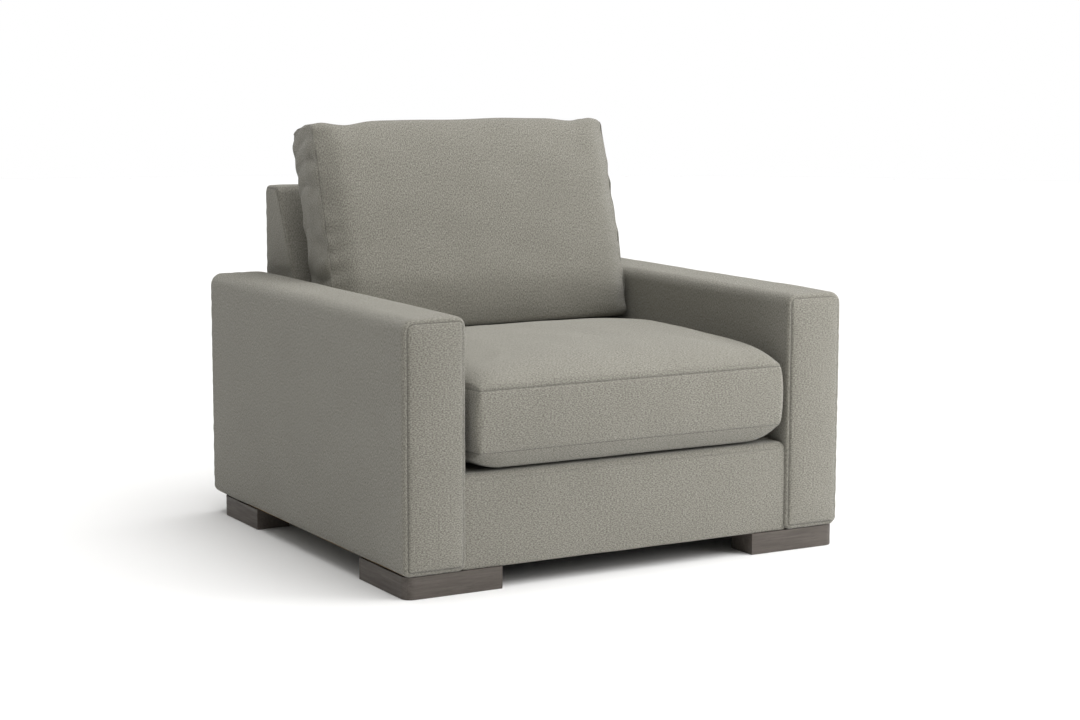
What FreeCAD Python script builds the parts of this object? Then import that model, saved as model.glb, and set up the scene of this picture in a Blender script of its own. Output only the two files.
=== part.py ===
import FreeCAD, Part
import math
import os

# Block-arm upholstered armchair with a loose box seat cushion and a loose back cushion.
# Millimetres. The chair faces -Y, +X is the sitter's left, +Z is up. The origin is on the floor,
# in the middle of the chair's bounding box. Nodes whose names start with "right" lie on the +X side,
# which is on the right of somebody who looks at the front of the chair.

# ---- driving dimensions -------------------------------------------------------------------------
WIDTH = 1100.0            # across the outsides of the two arms
DEPTH = 1050.0            # from the arm fronts to the rear face
ARM_HEIGHT = 582.0
ARM_WIDTH = 145.0
BACK_HEIGHT = 792.0       # top of the fixed back, between the arms
FOOT_HEIGHT = 48.0        # the upholstery's underside
DECK_HEIGHT = 250.0       # the platform that the seat cushion lies on
SEAT_PROUD = 16.0         # the seat cushion stands this far in front of the arms
RAIL_SETBACK = 8.5        # the front rail panel lies this far behind the arm fronts
BACK_SLOPE = 0.449        # run over rise of the fixed back's inside face
DECK_DEPTH = 728.0        # arm fronts to the foot of that inside face

# ---- materials' thicknesses and the frame's boards ------------------------------------------------
CLOTH = 2.0               # cover cloth with its backing
LIP = 25.0                # cloth turned under and stapled
BOARD = 19.0              # plywood posts and arm tops
RAIL = 25.0               # rails and back sides
LINER = 3.0               # fibreboard liners
WEB = 1.5                 # one layer of webbing
PAD_THIN = 6.0            # wadding on outer faces
PAD_FRONT = 10.0
PAD_ARM_INSIDE = 18.0
PAD_ARM_TOP = 18.0
PAD_BACK = 25.0
PAD_BACK_TOP = 22.0
PAD_DECK = 20.0
ARM_ROUND = 24.0          # radius of the padded arm edges
BACK_ROUND = 18.0
RAIL_ROUND = 20.0
HEM_ROUND = 6.0           # bottom edges, where the cloth turns under
SEAM = 7.0                # seams lie this far round from a face, on its rounded edge
RAIL_TOP = 222.0          # top of the rails that carry the springs
LOW_RAIL_TOP = 120.0      # top of the small rails round the bottom of the frame

# ---- loose cushions -------------------------------------------------------------------------------
SEAT_HALF = 401.0         # half the seat cushion's width between the arms
SEAT_FRONT_HALF = 380.0   # half its width at the front corners
SEAT_LENGTH = 751.0
SEAT_SIDE_RUN = 110.0     # the sides reach their full width this far behind the front corners
SEAT_GAP = 0.6            # clear of the deck
SEAT_SEAM_LOW = 294.0
SEAT_SEAM_HIGH = 425.0
SEAT_CROWN = 498.0        # highest point of the seat
SEAT_BACK_EDGE = 455.0    # height of the crown's rear end
SEAT_FRONT_EDGE = 437.0   # height of the crown's front end
SEAT_SIDE_EDGE = 452.0    # height of the crown beside the arms
BACK_HALF = 397.0         # half the back cushion's width
BACK_LEAN = 18.0          # degrees
BACK_GUSSET = 125.0       # width of the side boxing
BACK_LENGTH = 496.1       # along the lean; it puts the cushion's top 948 above the floor
BACK_CROWN_FRONT = 48.0
BACK_CROWN_REAR = 50.0
BACK_TOP_ROUND = 35.0     # its upper edges, front and rear
BACK_FOOT_Y = 147.0       # the front bottom edge of the side boxing
BACK_FOOT_Z = 482.0
FOAM_MARGIN = 26.0        # fibre wrap round the seat foam
ZIP_HALF = 330.0          # half the length of a zip

# ---- feet -----------------------------------------------------------------------------------------
FOOT_SETBACK = 4.5
FOOT_THICK = 81.0
FOOT_FRONT_RUN = 227.0
FOOT_SIDE_RUN = 222.0
FOOT_REAR_SIDE_RUN = 211.0
FOOT_REAR_INSET = 51.0
FOOT_ROUND = 22.0
FOOT_EASE = 1.5
GLIDE_R = 11.0
GLIDE_THICK = 2.0
SCREW_R = 2.5
SCREW_HEAD_R = 5.5
SCREW_HEAD_HEIGHT = 3.5
COUNTERBORE_R = 7.0
COUNTERBORE_DEPTH = 18.0
SCREW_TIP = 92.0

# ---- derived positions ----------------------------------------------------------------------------
HALF = WIDTH / 2
INNER = HALF - ARM_WIDTH
REAR = (DEPTH + SEAT_PROUD) / 2
FRONT = REAR - DEPTH
SEAT_FRONT = FRONT - SEAT_PROUD
SEAT_REAR = SEAT_FRONT + SEAT_LENGTH
RAIL_FACE = FRONT + RAIL_SETBACK
SLOPE_FOOT = FRONT + DECK_DEPTH
SLOPE_ANGLE = math.degrees(math.atan(BACK_SLOPE))
SLOPE_COS = math.cos(math.radians(SLOPE_ANGLE))
HULL = FOOT_HEIGHT + CLOTH          # underside of the frame and its padding
FRAME_IN = INNER + CLOTH            # the frame's inner faces below the deck
ARM_FRAME_IN = INNER + CLOTH + PAD_ARM_INSIDE
ARM_LINER_OUT = HALF - CLOTH - PAD_THIN
ARM_FRAME_OUT = ARM_LINER_OUT - LINER
ARM_FRAME_TOP = ARM_HEIGHT - CLOTH - PAD_ARM_TOP
POST_FRONT = FRONT + CLOTH + PAD_FRONT
POST_REAR = REAR - CLOTH - PAD_FRONT
FRONT_RAIL_Y = RAIL_FACE + PAD_FRONT
SPRING_RAIL_Y = SLOPE_FOOT + CLOTH
BACK_FRAME_REAR = REAR - CLOTH - PAD_THIN - LINER
BACK_FRAME_HALF = INNER - CLOTH - PAD_THIN
BACK_FRAME_TOP = BACK_HEIGHT - CLOTH - PAD_BACK_TOP
BACK_POST_FRONT = SPRING_RAIL_Y + RAIL + 5.0
FRAME_DEPTH = CLOTH + PAD_BACK + 2 * WEB   # the back frame's face, behind the sloped inside face
DECK_UNDER = DECK_HEIGHT - CLOTH - PAD_DECK
HEM_FRONT = FRONT + 35.0            # inner edges of the cloth that is turned under
HEM_SIDE = HALF - LIP
HEM_REAR = REAR - LIP
SIDES = (("left", -1), ("right", 1))


# ---- helpers --------------------------------------------------------------------------------------
def box(x0, x1, y0, y1, z0, z1):
    """Axis-parallel block between two corners."""
    return Part.makeBox(x1 - x0, y1 - y0, z1 - z0, FreeCAD.Vector(x0, y0, z0))


def cylinder(radius, x, y, z0, z1):
    """Upright cylinder."""
    return Part.makeCylinder(radius, z1 - z0, FreeCAD.Vector(x, y, z0))


def prism_x(points, x0, x1):
    """Polygon of (y, z) points, extruded along X."""
    corners = [FreeCAD.Vector(x0, y, z) for y, z in points]
    face = Part.Face(Part.makePolygon(corners + corners[:1]))
    return face.extrude(FreeCAD.Vector(x1 - x0, 0, 0))


def prism_z(points, z0, z1):
    """Polygon of (x, y) points, extruded along Z."""
    corners = [FreeCAD.Vector(x, y, z0) for x, y in points]
    face = Part.Face(Part.makePolygon(corners + corners[:1]))
    return face.extrude(FreeCAD.Vector(0, 0, z1 - z0))


def mirror(shape):
    """The same piece on the other side of the chair."""
    return shape.mirror(FreeCAD.Vector(0, 0, 0), FreeCAD.Vector(1, 0, 0))


def on_side(shape, side):
    """A piece drawn on the +X side, moved to the side asked for."""
    return shape if side > 0 else mirror(shape)


def fillet(shape, radius, wanted):
    """Round the edges whose two ends satisfy wanted(start, end)."""
    edges = [e for e in shape.Edges if wanted(e.Vertexes[0].Point, e.Vertexes[-1].Point)]
    return shape.makeFillet(radius, edges)


def slope_y(z, depth=0.0):
    """Y of the fixed back's inside face at height z, or of a plane that lies deeper behind it."""
    return SLOPE_FOOT + BACK_SLOPE * (z - DECK_HEIGHT) + depth / SLOPE_COS


def sloped_box(x0, x1, depth0, depth1, along0, along1):
    """Block laid against the inside face: depth behind it, distance up along it from the deck."""
    shape = box(x0, x1, depth0, depth1, along0, along1)
    shape.rotate(FreeCAD.Vector(0, 0, 0), FreeCAD.Vector(1, 0, 0), -SLOPE_ANGLE)
    shape.translate(FreeCAD.Vector(0, SLOPE_FOOT, DECK_HEIGHT))
    return shape


def save(name, shape):
    """Write one sub-part as its own STEP file."""
    shape.exportStep(os.path.join("parts", name + ".step"))


# ---- feet -----------------------------------------------------------------------------------------
def foot_outline(front):
    """Outer corner, inward run and side run of an L-shaped foot, as (x, y) points on the +X side."""
    x_out = HALF - FOOT_SETBACK
    y_out = FRONT + FOOT_SETBACK if front else REAR - FOOT_REAR_INSET
    toward_middle = 1 if front else -1
    side_run = FOOT_SIDE_RUN if front else FOOT_REAR_SIDE_RUN
    y_side = y_out + toward_middle * side_run
    y_in = y_out + toward_middle * FOOT_THICK
    x_in = x_out - FOOT_THICK
    x_run = x_out - FOOT_FRONT_RUN
    return [(x_out, y_out), (x_out, y_side), (x_in, y_side), (x_in, y_in), (x_run, y_in), (x_run, y_out)]


def foot_centre_lines(front):
    """Places for glides: the corner, the end of the side run and the end of the inward run."""
    corner, side_end, _, _, run_end, _ = foot_outline(front)
    toward_middle = 1 if front else -1
    x_mid = corner[0] - FOOT_THICK / 2
    y_mid = corner[1] + toward_middle * FOOT_THICK / 2
    inset = 30.0
    return [(x_mid, y_mid), (x_mid, side_end[1] - toward_middle * inset), (run_end[0] + inset, y_mid)]


def screw_places(front):
    """Two screws up into the arm's outer rail and one into the frame beside the arm."""
    rail_x = ARM_FRAME_OUT - RAIL / 2
    if front:
        return [(rail_x, FRONT + 77.0), (rail_x, FRONT + 187.0), (360.0, FRONT_RAIL_Y + RAIL / 2)]
    side_x = BACK_FRAME_HALF - RAIL / 2
    return [(rail_x, REAR - 93.0), (rail_x, REAR - 233.0), (side_x, REAR - 93.0)]


def foot(front):
    """Solid L-shaped foot with a rounded outer corner, recesses for glides and counterbores."""
    outline = foot_outline(front)
    corner = outline[0]
    solid = prism_z(outline, 0.0, FOOT_HEIGHT)
    solid = fillet(solid, FOOT_ROUND, lambda a, b: (a.x, a.y) == corner and (b.x, b.y) == corner)
    solid = fillet(solid, FOOT_EASE, lambda a, b: a.z == 0 and b.z == 0)
    for x, y in foot_centre_lines(front):
        solid = solid.cut(cylinder(GLIDE_R, x, y, 0.0, GLIDE_THICK))
    for x, y in screw_places(front):
        solid = solid.cut(cylinder(COUNTERBORE_R, x, y, 0.0, COUNTERBORE_DEPTH))
        solid = solid.cut(cylinder(SCREW_R, x, y, COUNTERBORE_DEPTH, FOOT_HEIGHT))
    return solid


def all_screw_places():
    """Every foot screw on the chair."""
    return [(side * x, y) for _, side in SIDES for front in (True, False) for x, y in screw_places(front)]


def foot_screws():
    """Twelve screws with flat heads, driven up from the counterbores."""
    screws = []
    for x, y in all_screw_places():
        head = cylinder(SCREW_HEAD_R, x, y, COUNTERBORE_DEPTH - SCREW_HEAD_HEIGHT, COUNTERBORE_DEPTH)
        screws.append(head.fuse(cylinder(SCREW_R, x, y, COUNTERBORE_DEPTH, SCREW_TIP)).removeSplitter())
    return Part.makeCompound(screws)


def foot_glides():
    """Felt discs let into the soles, flush with them."""
    places = foot_centre_lines(True) + foot_centre_lines(False)
    return Part.makeCompound([cylinder(GLIDE_R, side * x, y, 0.0, GLIDE_THICK)
                              for _, side in SIDES for x, y in places])


def drilled(shape):
    """A frame piece with the holes of the foot screws that reach it."""
    for x, y in all_screw_places():
        shank = cylinder(SCREW_R, x, y, COUNTERBORE_DEPTH, SCREW_TIP)
        if shank.common(shape).Volume > 0.0:
            shape = shape.cut(shank)
    return shape


# ---- wooden frame ---------------------------------------------------------------------------------
def arm_post(y0):
    """Upright board at the front or rear of an arm, wider below the deck."""
    upper = box(ARM_FRAME_IN, ARM_FRAME_OUT, y0, y0 + BOARD, RAIL_TOP, ARM_FRAME_TOP)
    lower = box(FRAME_IN + PAD_FRONT, ARM_FRAME_OUT, y0, y0 + BOARD, HULL, RAIL_TOP)
    return upper.fuse(lower).removeSplitter()


def arm_top_board():
    """Board that closes the top of an arm, between its posts."""
    return box(ARM_FRAME_IN, ARM_FRAME_OUT, POST_FRONT + BOARD, POST_REAR - BOARD,
               ARM_FRAME_TOP - BOARD, ARM_FRAME_TOP)


def arm_rails():
    """The seat rail on the inner side of an arm and the small rail on its outer side."""
    y0 = POST_FRONT + BOARD
    y1 = POST_REAR - BOARD
    seat_rail = box(FRAME_IN, FRAME_IN + RAIL, y0, y1, HULL, RAIL_TOP)
    outer_rail = box(ARM_FRAME_OUT - RAIL, ARM_FRAME_OUT, y0, y1, HULL, LOW_RAIL_TOP)
    return Part.makeCompound([seat_rail, outer_rail])


def arm_struts():
    """Pairs of uprights inside both arms, from the rails to the top boards."""
    pieces = []
    width = 60.0
    top = ARM_FRAME_TOP - BOARD
    for _, side in SIDES:
        for y in (FRONT / 3, REAR / 3):
            inner = box(ARM_FRAME_IN, ARM_FRAME_IN + BOARD, y, y + width, RAIL_TOP, top)
            outer = box(ARM_FRAME_OUT - BOARD, ARM_FRAME_OUT, y, y + width, LOW_RAIL_TOP, top)
            pieces += [on_side(inner, side), on_side(outer, side)]
    return Part.makeCompound(pieces)


def front_rail():
    """Rail across the front, under the deck."""
    return box(-FRAME_IN, FRAME_IN, FRONT_RAIL_Y, FRONT_RAIL_Y + RAIL, HULL, RAIL_TOP)


def spring_rail():
    """Rail under the foot of the back, where the springs end."""
    return box(-FRAME_IN, FRAME_IN, SPRING_RAIL_Y, SPRING_RAIL_Y + RAIL, HULL + 50.0, RAIL_TOP)


def rear_rail():
    """Small rail along the bottom of the back."""
    return box(-BACK_FRAME_HALF + RAIL, BACK_FRAME_HALF - RAIL, BACK_FRAME_REAR - RAIL, BACK_FRAME_REAR,
               HULL, LOW_RAIL_TOP)


def back_side_outline(inset):
    """Outline of a back side board, or of its lightening hole, as (y, z) points."""
    top = BACK_FRAME_TOP - inset
    rear = BACK_FRAME_REAR - inset
    knee = DECK_HEIGHT + (50.0 if inset else 0.0)
    front = slope_y(knee, FRAME_DEPTH + inset)
    points = [(rear, top), (slope_y(top, FRAME_DEPTH + inset), top), (front, knee)]
    if inset:
        return points + [(rear, knee)]
    return points + [(BACK_POST_FRONT, DECK_HEIGHT), (BACK_POST_FRONT, HULL), (rear, HULL)]


def back_side():
    """Plywood side of the back, with the slope as its front edge and a tapered hole."""
    hole_inset = 34.0
    hole_top = 640.0
    x0 = BACK_FRAME_HALF - RAIL
    board = prism_x(back_side_outline(0.0), x0, BACK_FRAME_HALF)
    hole = prism_x(back_side_outline(hole_inset), x0 - 1.0, BACK_FRAME_HALF + 1.0)
    hole = hole.common(box(x0 - 1.0, BACK_FRAME_HALF + 1.0, FRONT, REAR, DECK_HEIGHT, hole_top))
    return board.cut(hole)


def back_top_rail():
    """Rail across the top of the back."""
    half = BACK_FRAME_HALF - RAIL
    z0 = BACK_FRAME_TOP - RAIL
    outline = [(BACK_FRAME_REAR, z0), (BACK_FRAME_REAR, BACK_FRAME_TOP),
               (slope_y(BACK_FRAME_TOP, FRAME_DEPTH), BACK_FRAME_TOP), (slope_y(z0, FRAME_DEPTH), z0)]
    return prism_x(outline, -half, half)


def back_low_rail():
    """Sloped rail that holds the lower ends of the webbing."""
    half = BACK_FRAME_HALF - RAIL
    return sloped_box(-half, half, FRAME_DEPTH, FRAME_DEPTH + RAIL, 20.0, 80.0)


def corner_blocks():
    """Glued triangular blocks in the four inner corners of the seat frame."""
    leg = 80.0
    z0 = HULL + 60.0
    z1 = z0 + leg
    blocks = []
    for _, side in SIDES:
        x = side * FRAME_IN
        for y, direction in ((FRONT_RAIL_Y + RAIL, 1), (SPRING_RAIL_Y, -1)):
            blocks.append(prism_z([(x, y), (x - side * leg, y), (x, y + direction * leg)], z0, z1))
    return Part.makeCompound(blocks)


# ---- fibreboard liners ----------------------------------------------------------------------------
def arm_liner():
    """Stiff liner under the outside arm cloth."""
    return box(ARM_FRAME_OUT, ARM_LINER_OUT, POST_FRONT + PAD_THIN, POST_REAR - PAD_THIN, HULL, ARM_FRAME_TOP)


def back_liner():
    """Stiff liner under the outside back cloth."""
    half = BACK_FRAME_HALF
    return box(-half, half, BACK_FRAME_REAR, BACK_FRAME_REAR + LINER, HULL, BACK_FRAME_TOP)


# ---- suspension -----------------------------------------------------------------------------------
SPRING_WIRE = 2.0
SPRING_Z = RAIL_TOP + 3.5
SPRING_START = FRONT_RAIL_Y + 8.0
SPRING_END = SPRING_RAIL_Y + RAIL - 8.0
SPRING_LOOPS = 24
SPRING_HALF_WIDTH = 25.0
SPRING_XS = (-320.0, -160.0, 0.0, 160.0, 320.0)


def zigzag(x):
    """Centre line of one sinuous spring: cross bars joined by half circles, from front to rear."""
    pitch = (SPRING_END - SPRING_START) / SPRING_LOOPS
    radius = pitch / 2
    edges = []
    for i in range(SPRING_LOOPS + 1):
        y = SPRING_START + i * pitch
        toward = 1 if i % 2 == 0 else -1
        start = FreeCAD.Vector(x - toward * (SPRING_HALF_WIDTH - radius), y, SPRING_Z)
        end = FreeCAD.Vector(x + toward * (SPRING_HALF_WIDTH - radius), y, SPRING_Z)
        edges.append(Part.LineSegment(start, end).toShape())
        if i < SPRING_LOOPS:
            mid = end + FreeCAD.Vector(toward * radius, radius, 0)
            after = end + FreeCAD.Vector(0, pitch, 0)
            edges.append(Part.Arc(end, mid, after).toShape())
    return Part.Wire(edges)


def seat_springs():
    """Five flat zigzag springs from the front rail to the spring rail."""
    springs = []
    for x in SPRING_XS:
        path = zigzag(x)
        start = path.Vertexes[0].Point
        section = Part.Wire(Part.makeCircle(SPRING_WIRE, start, FreeCAD.Vector(1, 0, 0)))
        springs.append(path.makePipeShell([section], True, False))
    return Part.makeCompound(springs)


def spring_clips():
    """Steel clips that hold both ends of each spring on the rails."""
    clips = []
    half = 9.0
    wall = 0.5
    for x in SPRING_XS:
        for y in (SPRING_START, SPRING_END):
            block = box(x - half, x + half, y - 6.0, y + 6.0, RAIL_TOP, SPRING_Z + SPRING_WIRE + wall)
            wire = Part.makeCylinder(SPRING_WIRE, 2 * half + 2, FreeCAD.Vector(x - half - 1, y, SPRING_Z),
                                     FreeCAD.Vector(1, 0, 0))
            clips.append(block.cut(wire))
    return Part.makeCompound(clips)


def back_webbing():
    """Four upright straps on the back's rails, with three cross straps woven in front of them."""
    straps = []
    half = 25.0
    face = FRAME_DEPTH - WEB
    for x in (-240.0, -80.0, 80.0, 240.0):
        straps.append(sloped_box(x - half, x + half, face, FRAME_DEPTH, 20.0, 560.0))
    for along in (170.0, 310.0, 450.0):
        end = along + 2 * half
        straps.append(sloped_box(-BACK_FRAME_HALF, BACK_FRAME_HALF, face - WEB, face, along, end))
    return Part.makeCompound(straps)


# ---- padding and cloth ----------------------------------------------------------------------------
def arm_block(inset):
    """Outer form of the +X arm: a block with padded round edges, or the same form further in."""
    x0 = INNER + inset
    x1 = HALF - inset
    y0 = FRONT + inset
    y1 = REAR - inset
    z1 = ARM_HEIGHT - inset
    z0 = FOOT_HEIGHT + inset
    block = box(x0, x1, y0, y1, z0, z1)
    rear_inner = (x0, y1)

    def padded(a, b):
        upright = a.x == b.x and a.y == b.y
        on_top = a.z == z1 and b.z == z1
        return on_top or (upright and (a.x, a.y) != rear_inner)

    block = fillet(block, ARM_ROUND - inset, padded)
    return fillet(block, HEM_ROUND - inset, lambda a, b: a.z == z0 and b.z == z0)


def arm_padding():
    """Foam and wadding round the arm's frame, open underneath."""
    upper = box(ARM_FRAME_IN, ARM_LINER_OUT, POST_FRONT, POST_REAR, RAIL_TOP, ARM_FRAME_TOP)
    lower = box(INNER, ARM_LINER_OUT, POST_FRONT, POST_REAR, FOOT_HEIGHT, RAIL_TOP)
    underneath = box(INNER, HALF, FRONT, REAR, FOOT_HEIGHT, HULL)
    return arm_block(CLOTH).cut(upper).cut(lower).cut(underneath)


def arm_cloth():
    """The arm's whole cover, turned under at the bottom, before it is cut into panels."""
    shell = arm_block(0.0).cut(arm_block(CLOTH))
    opening = box(INNER - 1.0, HEM_SIDE, HEM_FRONT, HEM_REAR, 0.0, HULL)
    below_deck = box(INNER - 1.0, INNER + LIP, FRONT_RAIL_Y, HEM_REAR, 0.0, RAIL_TOP)
    return drilled(shell.cut(opening).cut(below_deck))


def arm_panels():
    """Front, top, inside and outside panels. The outside panel goes on round the rear of the arm."""
    cloth = arm_cloth()
    far = 2 * HALF
    seam_front = FRONT + SEAM
    seam_top = ARM_HEIGHT - SEAM
    seam_rear = REAR - ARM_ROUND
    middle = INNER + ARM_WIDTH / 2
    front_face = box(0.0, far, -far, seam_front, 0.0, far)
    front_hem = box(0.0, far, -far, HEM_FRONT, 0.0, HULL)
    front = cloth.common(front_face.fuse(front_hem))
    rest = cloth.cut(front_face).cut(front_hem)
    top = rest.common(box(0.0, far, -far, far, seam_top, far))
    rest = rest.common(box(0.0, far, -far, far, 0.0, seam_top))
    inner_side = box(0.0, middle, -far, seam_rear, 0.0, far)
    return {"front": front, "top": top, "inside": rest.common(inner_side), "outside": rest.cut(inner_side)}


def rail_block(inset):
    """Outer form of the front rail between the arms."""
    y0 = RAIL_FACE + inset
    z1 = DECK_HEIGHT - inset
    z0 = FOOT_HEIGHT + inset
    block = box(-INNER, INNER, y0, FRONT_RAIL_Y + RAIL + LIP, z0, z1)
    block = fillet(block, RAIL_ROUND - inset, lambda a, b: a.y == b.y == y0 and a.z == b.z == z1)
    return fillet(block, HEM_ROUND - inset, lambda a, b: a.y == b.y == y0 and a.z == b.z == z0)


def front_rail_cover():
    """Cloth over the front rail's face and top, turned under at the bottom."""
    shell = rail_block(0.0).cut(rail_block(CLOTH))
    return drilled(shell.cut(box(-HALF, HALF, HEM_FRONT, REAR, 0.0, HULL)))


def front_rail_padding():
    """Foam on the front and top of the rail, clear of the spring clips."""
    form = rail_block(CLOTH).cut(box(-HALF, HALF, FRONT_RAIL_Y, REAR, 0.0, DECK_UNDER))
    return form.cut(box(-HALF, HALF, FRONT_RAIL_Y + RAIL, REAR, 0.0, DECK_HEIGHT))


def deck_cloth():
    """Plain cloth over the platform, from the front rail's cloth to the foot of the back."""
    y0 = FRONT_RAIL_Y + RAIL + LIP
    return box(-INNER, INNER, y0, SPRING_RAIL_Y + RAIL, DECK_HEIGHT - CLOTH, DECK_HEIGHT)


def deck_pad():
    """Felt pad on the springs."""
    return box(-INNER, INNER, FRONT_RAIL_Y + RAIL, SPRING_RAIL_Y + RAIL, DECK_UNDER, DECK_HEIGHT - CLOTH)


def back_block(inset, floor):
    """Form of the fixed back down to a floor height: a wedge with soft upper edges."""
    z1 = BACK_HEIGHT - inset
    y1 = REAR - inset
    half = INNER - inset
    outline = [(y1, floor), (y1, z1), (slope_y(z1, inset), z1), (slope_y(floor, inset), floor)]
    block = prism_x(outline, -half, half)
    return fillet(block, BACK_ROUND - inset, lambda a, b: abs(a.z - z1) < 1e-6 and abs(b.z - z1) < 1e-6)


def under_deck():
    """The space in front of the back's frame and under the deck, which the back leaves free."""
    return box(-HALF, HALF, FRONT, BACK_POST_FRONT, 0.0, DECK_HEIGHT)


def back_padding():
    """Foam over the inside face and top of the back, with thin wadding on its sides and rear."""
    rear = BACK_FRAME_REAR + LINER
    top = BACK_FRAME_TOP
    depth = CLOTH + PAD_BACK
    outline = [(rear, 0.0), (rear, top), (slope_y(top, depth), top), (slope_y(0.0, depth), 0.0)]
    core = prism_x(outline, -BACK_FRAME_HALF, BACK_FRAME_HALF)
    return back_block(CLOTH, HULL).cut(core).cut(under_deck())


def back_panels():
    """Inside, border and outside panels of the back's cover."""
    shell = back_block(0.0, FOOT_HEIGHT).cut(back_block(CLOTH, 0.0)).cut(under_deck())
    shell = shell.cut(box(-HALF, HALF, FRONT, HEM_REAR, 0.0, HULL))
    far = 2 * HALF
    edge = INNER - SEAM
    seam_top = BACK_HEIGHT - SEAM
    seam_rear = REAR - SEAM
    outside = shell.common(box(-far, far, seam_rear, far, 0.0, far))
    rest = shell.common(box(-far, far, -far, seam_rear, 0.0, far))
    middle = box(-edge, edge, -far, far, 0.0, seam_top)
    return {"inside": rest.common(middle), "border": rest.cut(middle), "outside": outside}


def dust_cover():
    """Thin cloth that closes the underside between the turned-under hems."""
    return drilled(box(-HEM_SIDE, HEM_SIDE, HEM_FRONT, HEM_REAR, FOOT_HEIGHT, HULL))


# ---- seat cushion ---------------------------------------------------------------------------------
def arc_through(a, b, c):
    """Circular edge through three points."""
    return Part.Arc(a, b, c).toShape()


def line(a, b):
    """Straight edge."""
    return Part.LineSegment(a, b).toShape()


def seat_plan(inset):
    """Plan of the seat cushion: square front corners, then sides that swell out to the arms."""
    v = FreeCAD.Vector
    front = SEAT_FRONT + inset
    rear = SEAT_REAR - inset
    narrow = SEAT_FRONT_HALF - inset
    wide = SEAT_HALF - inset
    bend = front + SEAT_SIDE_RUN
    mid_x = narrow + 0.72 * (wide - narrow)
    mid_y = front + 0.45 * SEAT_SIDE_RUN
    edges = [line(v(-narrow, front, 0), v(narrow, front, 0)),
             arc_through(v(narrow, front, 0), v(mid_x, mid_y, 0), v(wide, bend, 0)),
             line(v(wide, bend, 0), v(wide, rear, 0)),
             line(v(wide, rear, 0), v(-wide, rear, 0)),
             line(v(-wide, rear, 0), v(-wide, bend, 0)),
             arc_through(v(-wide, bend, 0), v(-mid_x, mid_y, 0), v(-narrow, front, 0))]
    return Part.Face(Part.Wire(edges)).extrude(v(0, 0, WIDTH))


def seat_form(inset):
    """Crowned box cushion: its plan, cut by a crown across the chair and a crown along it."""
    v = FreeCAD.Vector
    bottom = DECK_HEIGHT + SEAT_GAP + inset
    crown = SEAT_CROWN - inset
    side = SEAT_SIDE_EDGE - inset
    front_edge = SEAT_FRONT_EDGE - inset
    back_edge = SEAT_BACK_EDGE - inset
    hem = 40.0
    low = SEAT_SEAM_LOW - 8.0
    across = Part.Wire([
        arc_through(v(-SEAT_HALF, 0, side), v(0, 0, crown), v(SEAT_HALF, 0, side)),
        line(v(SEAT_HALF, 0, side), v(SEAT_HALF, 0, low + inset)),
        line(v(SEAT_HALF, 0, low + inset), v(SEAT_HALF - hem, 0, bottom)),
        line(v(SEAT_HALF - hem, 0, bottom), v(-SEAT_HALF + hem, 0, bottom)),
        line(v(-SEAT_HALF + hem, 0, bottom), v(-SEAT_HALF, 0, low + inset)),
        line(v(-SEAT_HALF, 0, low + inset), v(-SEAT_HALF, 0, side))])
    bar = Part.Face(across).extrude(v(0, DEPTH, 0))
    bar.translate(v(0, SEAT_FRONT, 0))
    middle = (SEAT_FRONT + SEAT_REAR) / 2
    along = Part.Wire([
        arc_through(v(0, SEAT_FRONT, front_edge), v(0, middle, crown), v(0, SEAT_REAR, back_edge)),
        line(v(0, SEAT_REAR, back_edge), v(0, SEAT_REAR, low + inset)),
        line(v(0, SEAT_REAR, low + inset), v(0, SEAT_REAR - hem, bottom)),
        line(v(0, SEAT_REAR - hem, bottom), v(0, SEAT_FRONT + hem, bottom)),
        line(v(0, SEAT_FRONT + hem, bottom), v(0, SEAT_FRONT, low + inset)),
        line(v(0, SEAT_FRONT, low + inset), v(0, SEAT_FRONT, front_edge))])
    slab = Part.Face(along).extrude(v(WIDTH, 0, 0))
    slab.translate(v(-HALF, 0, 0))
    return seat_plan(inset).common(bar).common(slab)


def seat_core():
    """Foam block in the middle of the seat cushion."""
    half = SEAT_FRONT_HALF - FOAM_MARGIN
    return box(-half, half, SEAT_FRONT + FOAM_MARGIN, SEAT_REAR - FOAM_MARGIN,
               DECK_HEIGHT + FOAM_MARGIN, SEAT_SEAM_HIGH)


def seat_wrap():
    """Fibre wrap between the foam and the cover."""
    return seat_form(CLOTH).cut(seat_core())


def seat_cover():
    """Sewn cover of the seat cushion."""
    return seat_form(0.0).cut(seat_form(CLOTH))


# ---- zips: drawn along X on a plane that faces +Y, with the tape's back on y = 0, z = 0 in the middle ----
ZIP_TAPE_HALF = 14.0
ZIP_TAPE_THICK = 1.0
ZIP_TEETH_HALF = 2.8
ZIP_TEETH_THICK = 2.2
ZIP_RUN = ZIP_HALF - 12.0
SLIDER_LENGTH = 13.0
SLIDER_HALF = 6.0
SLIDER_PLAY = 0.5
SLIDER_WALL = 1.6
PULL_LENGTH = 26.0
PULL_HALF = 3.5


def zip_tape():
    """Tape with a raised row of teeth along its middle and a stop at each end."""
    tape = box(-ZIP_HALF, ZIP_HALF, 0.0, ZIP_TAPE_THICK, -ZIP_TAPE_HALF, ZIP_TAPE_HALF)
    outer = ZIP_TAPE_THICK + ZIP_TEETH_THICK
    teeth = box(-ZIP_RUN, ZIP_RUN, ZIP_TAPE_THICK, outer, -ZIP_TEETH_HALF, ZIP_TEETH_HALF)
    stops = [box(x - 1.5, x + 1.5, ZIP_TAPE_THICK, outer + 1.0, -4.5, 4.5) for x in (-ZIP_RUN, ZIP_RUN)]
    return tape.fuse([teeth] + stops).removeSplitter()


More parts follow.
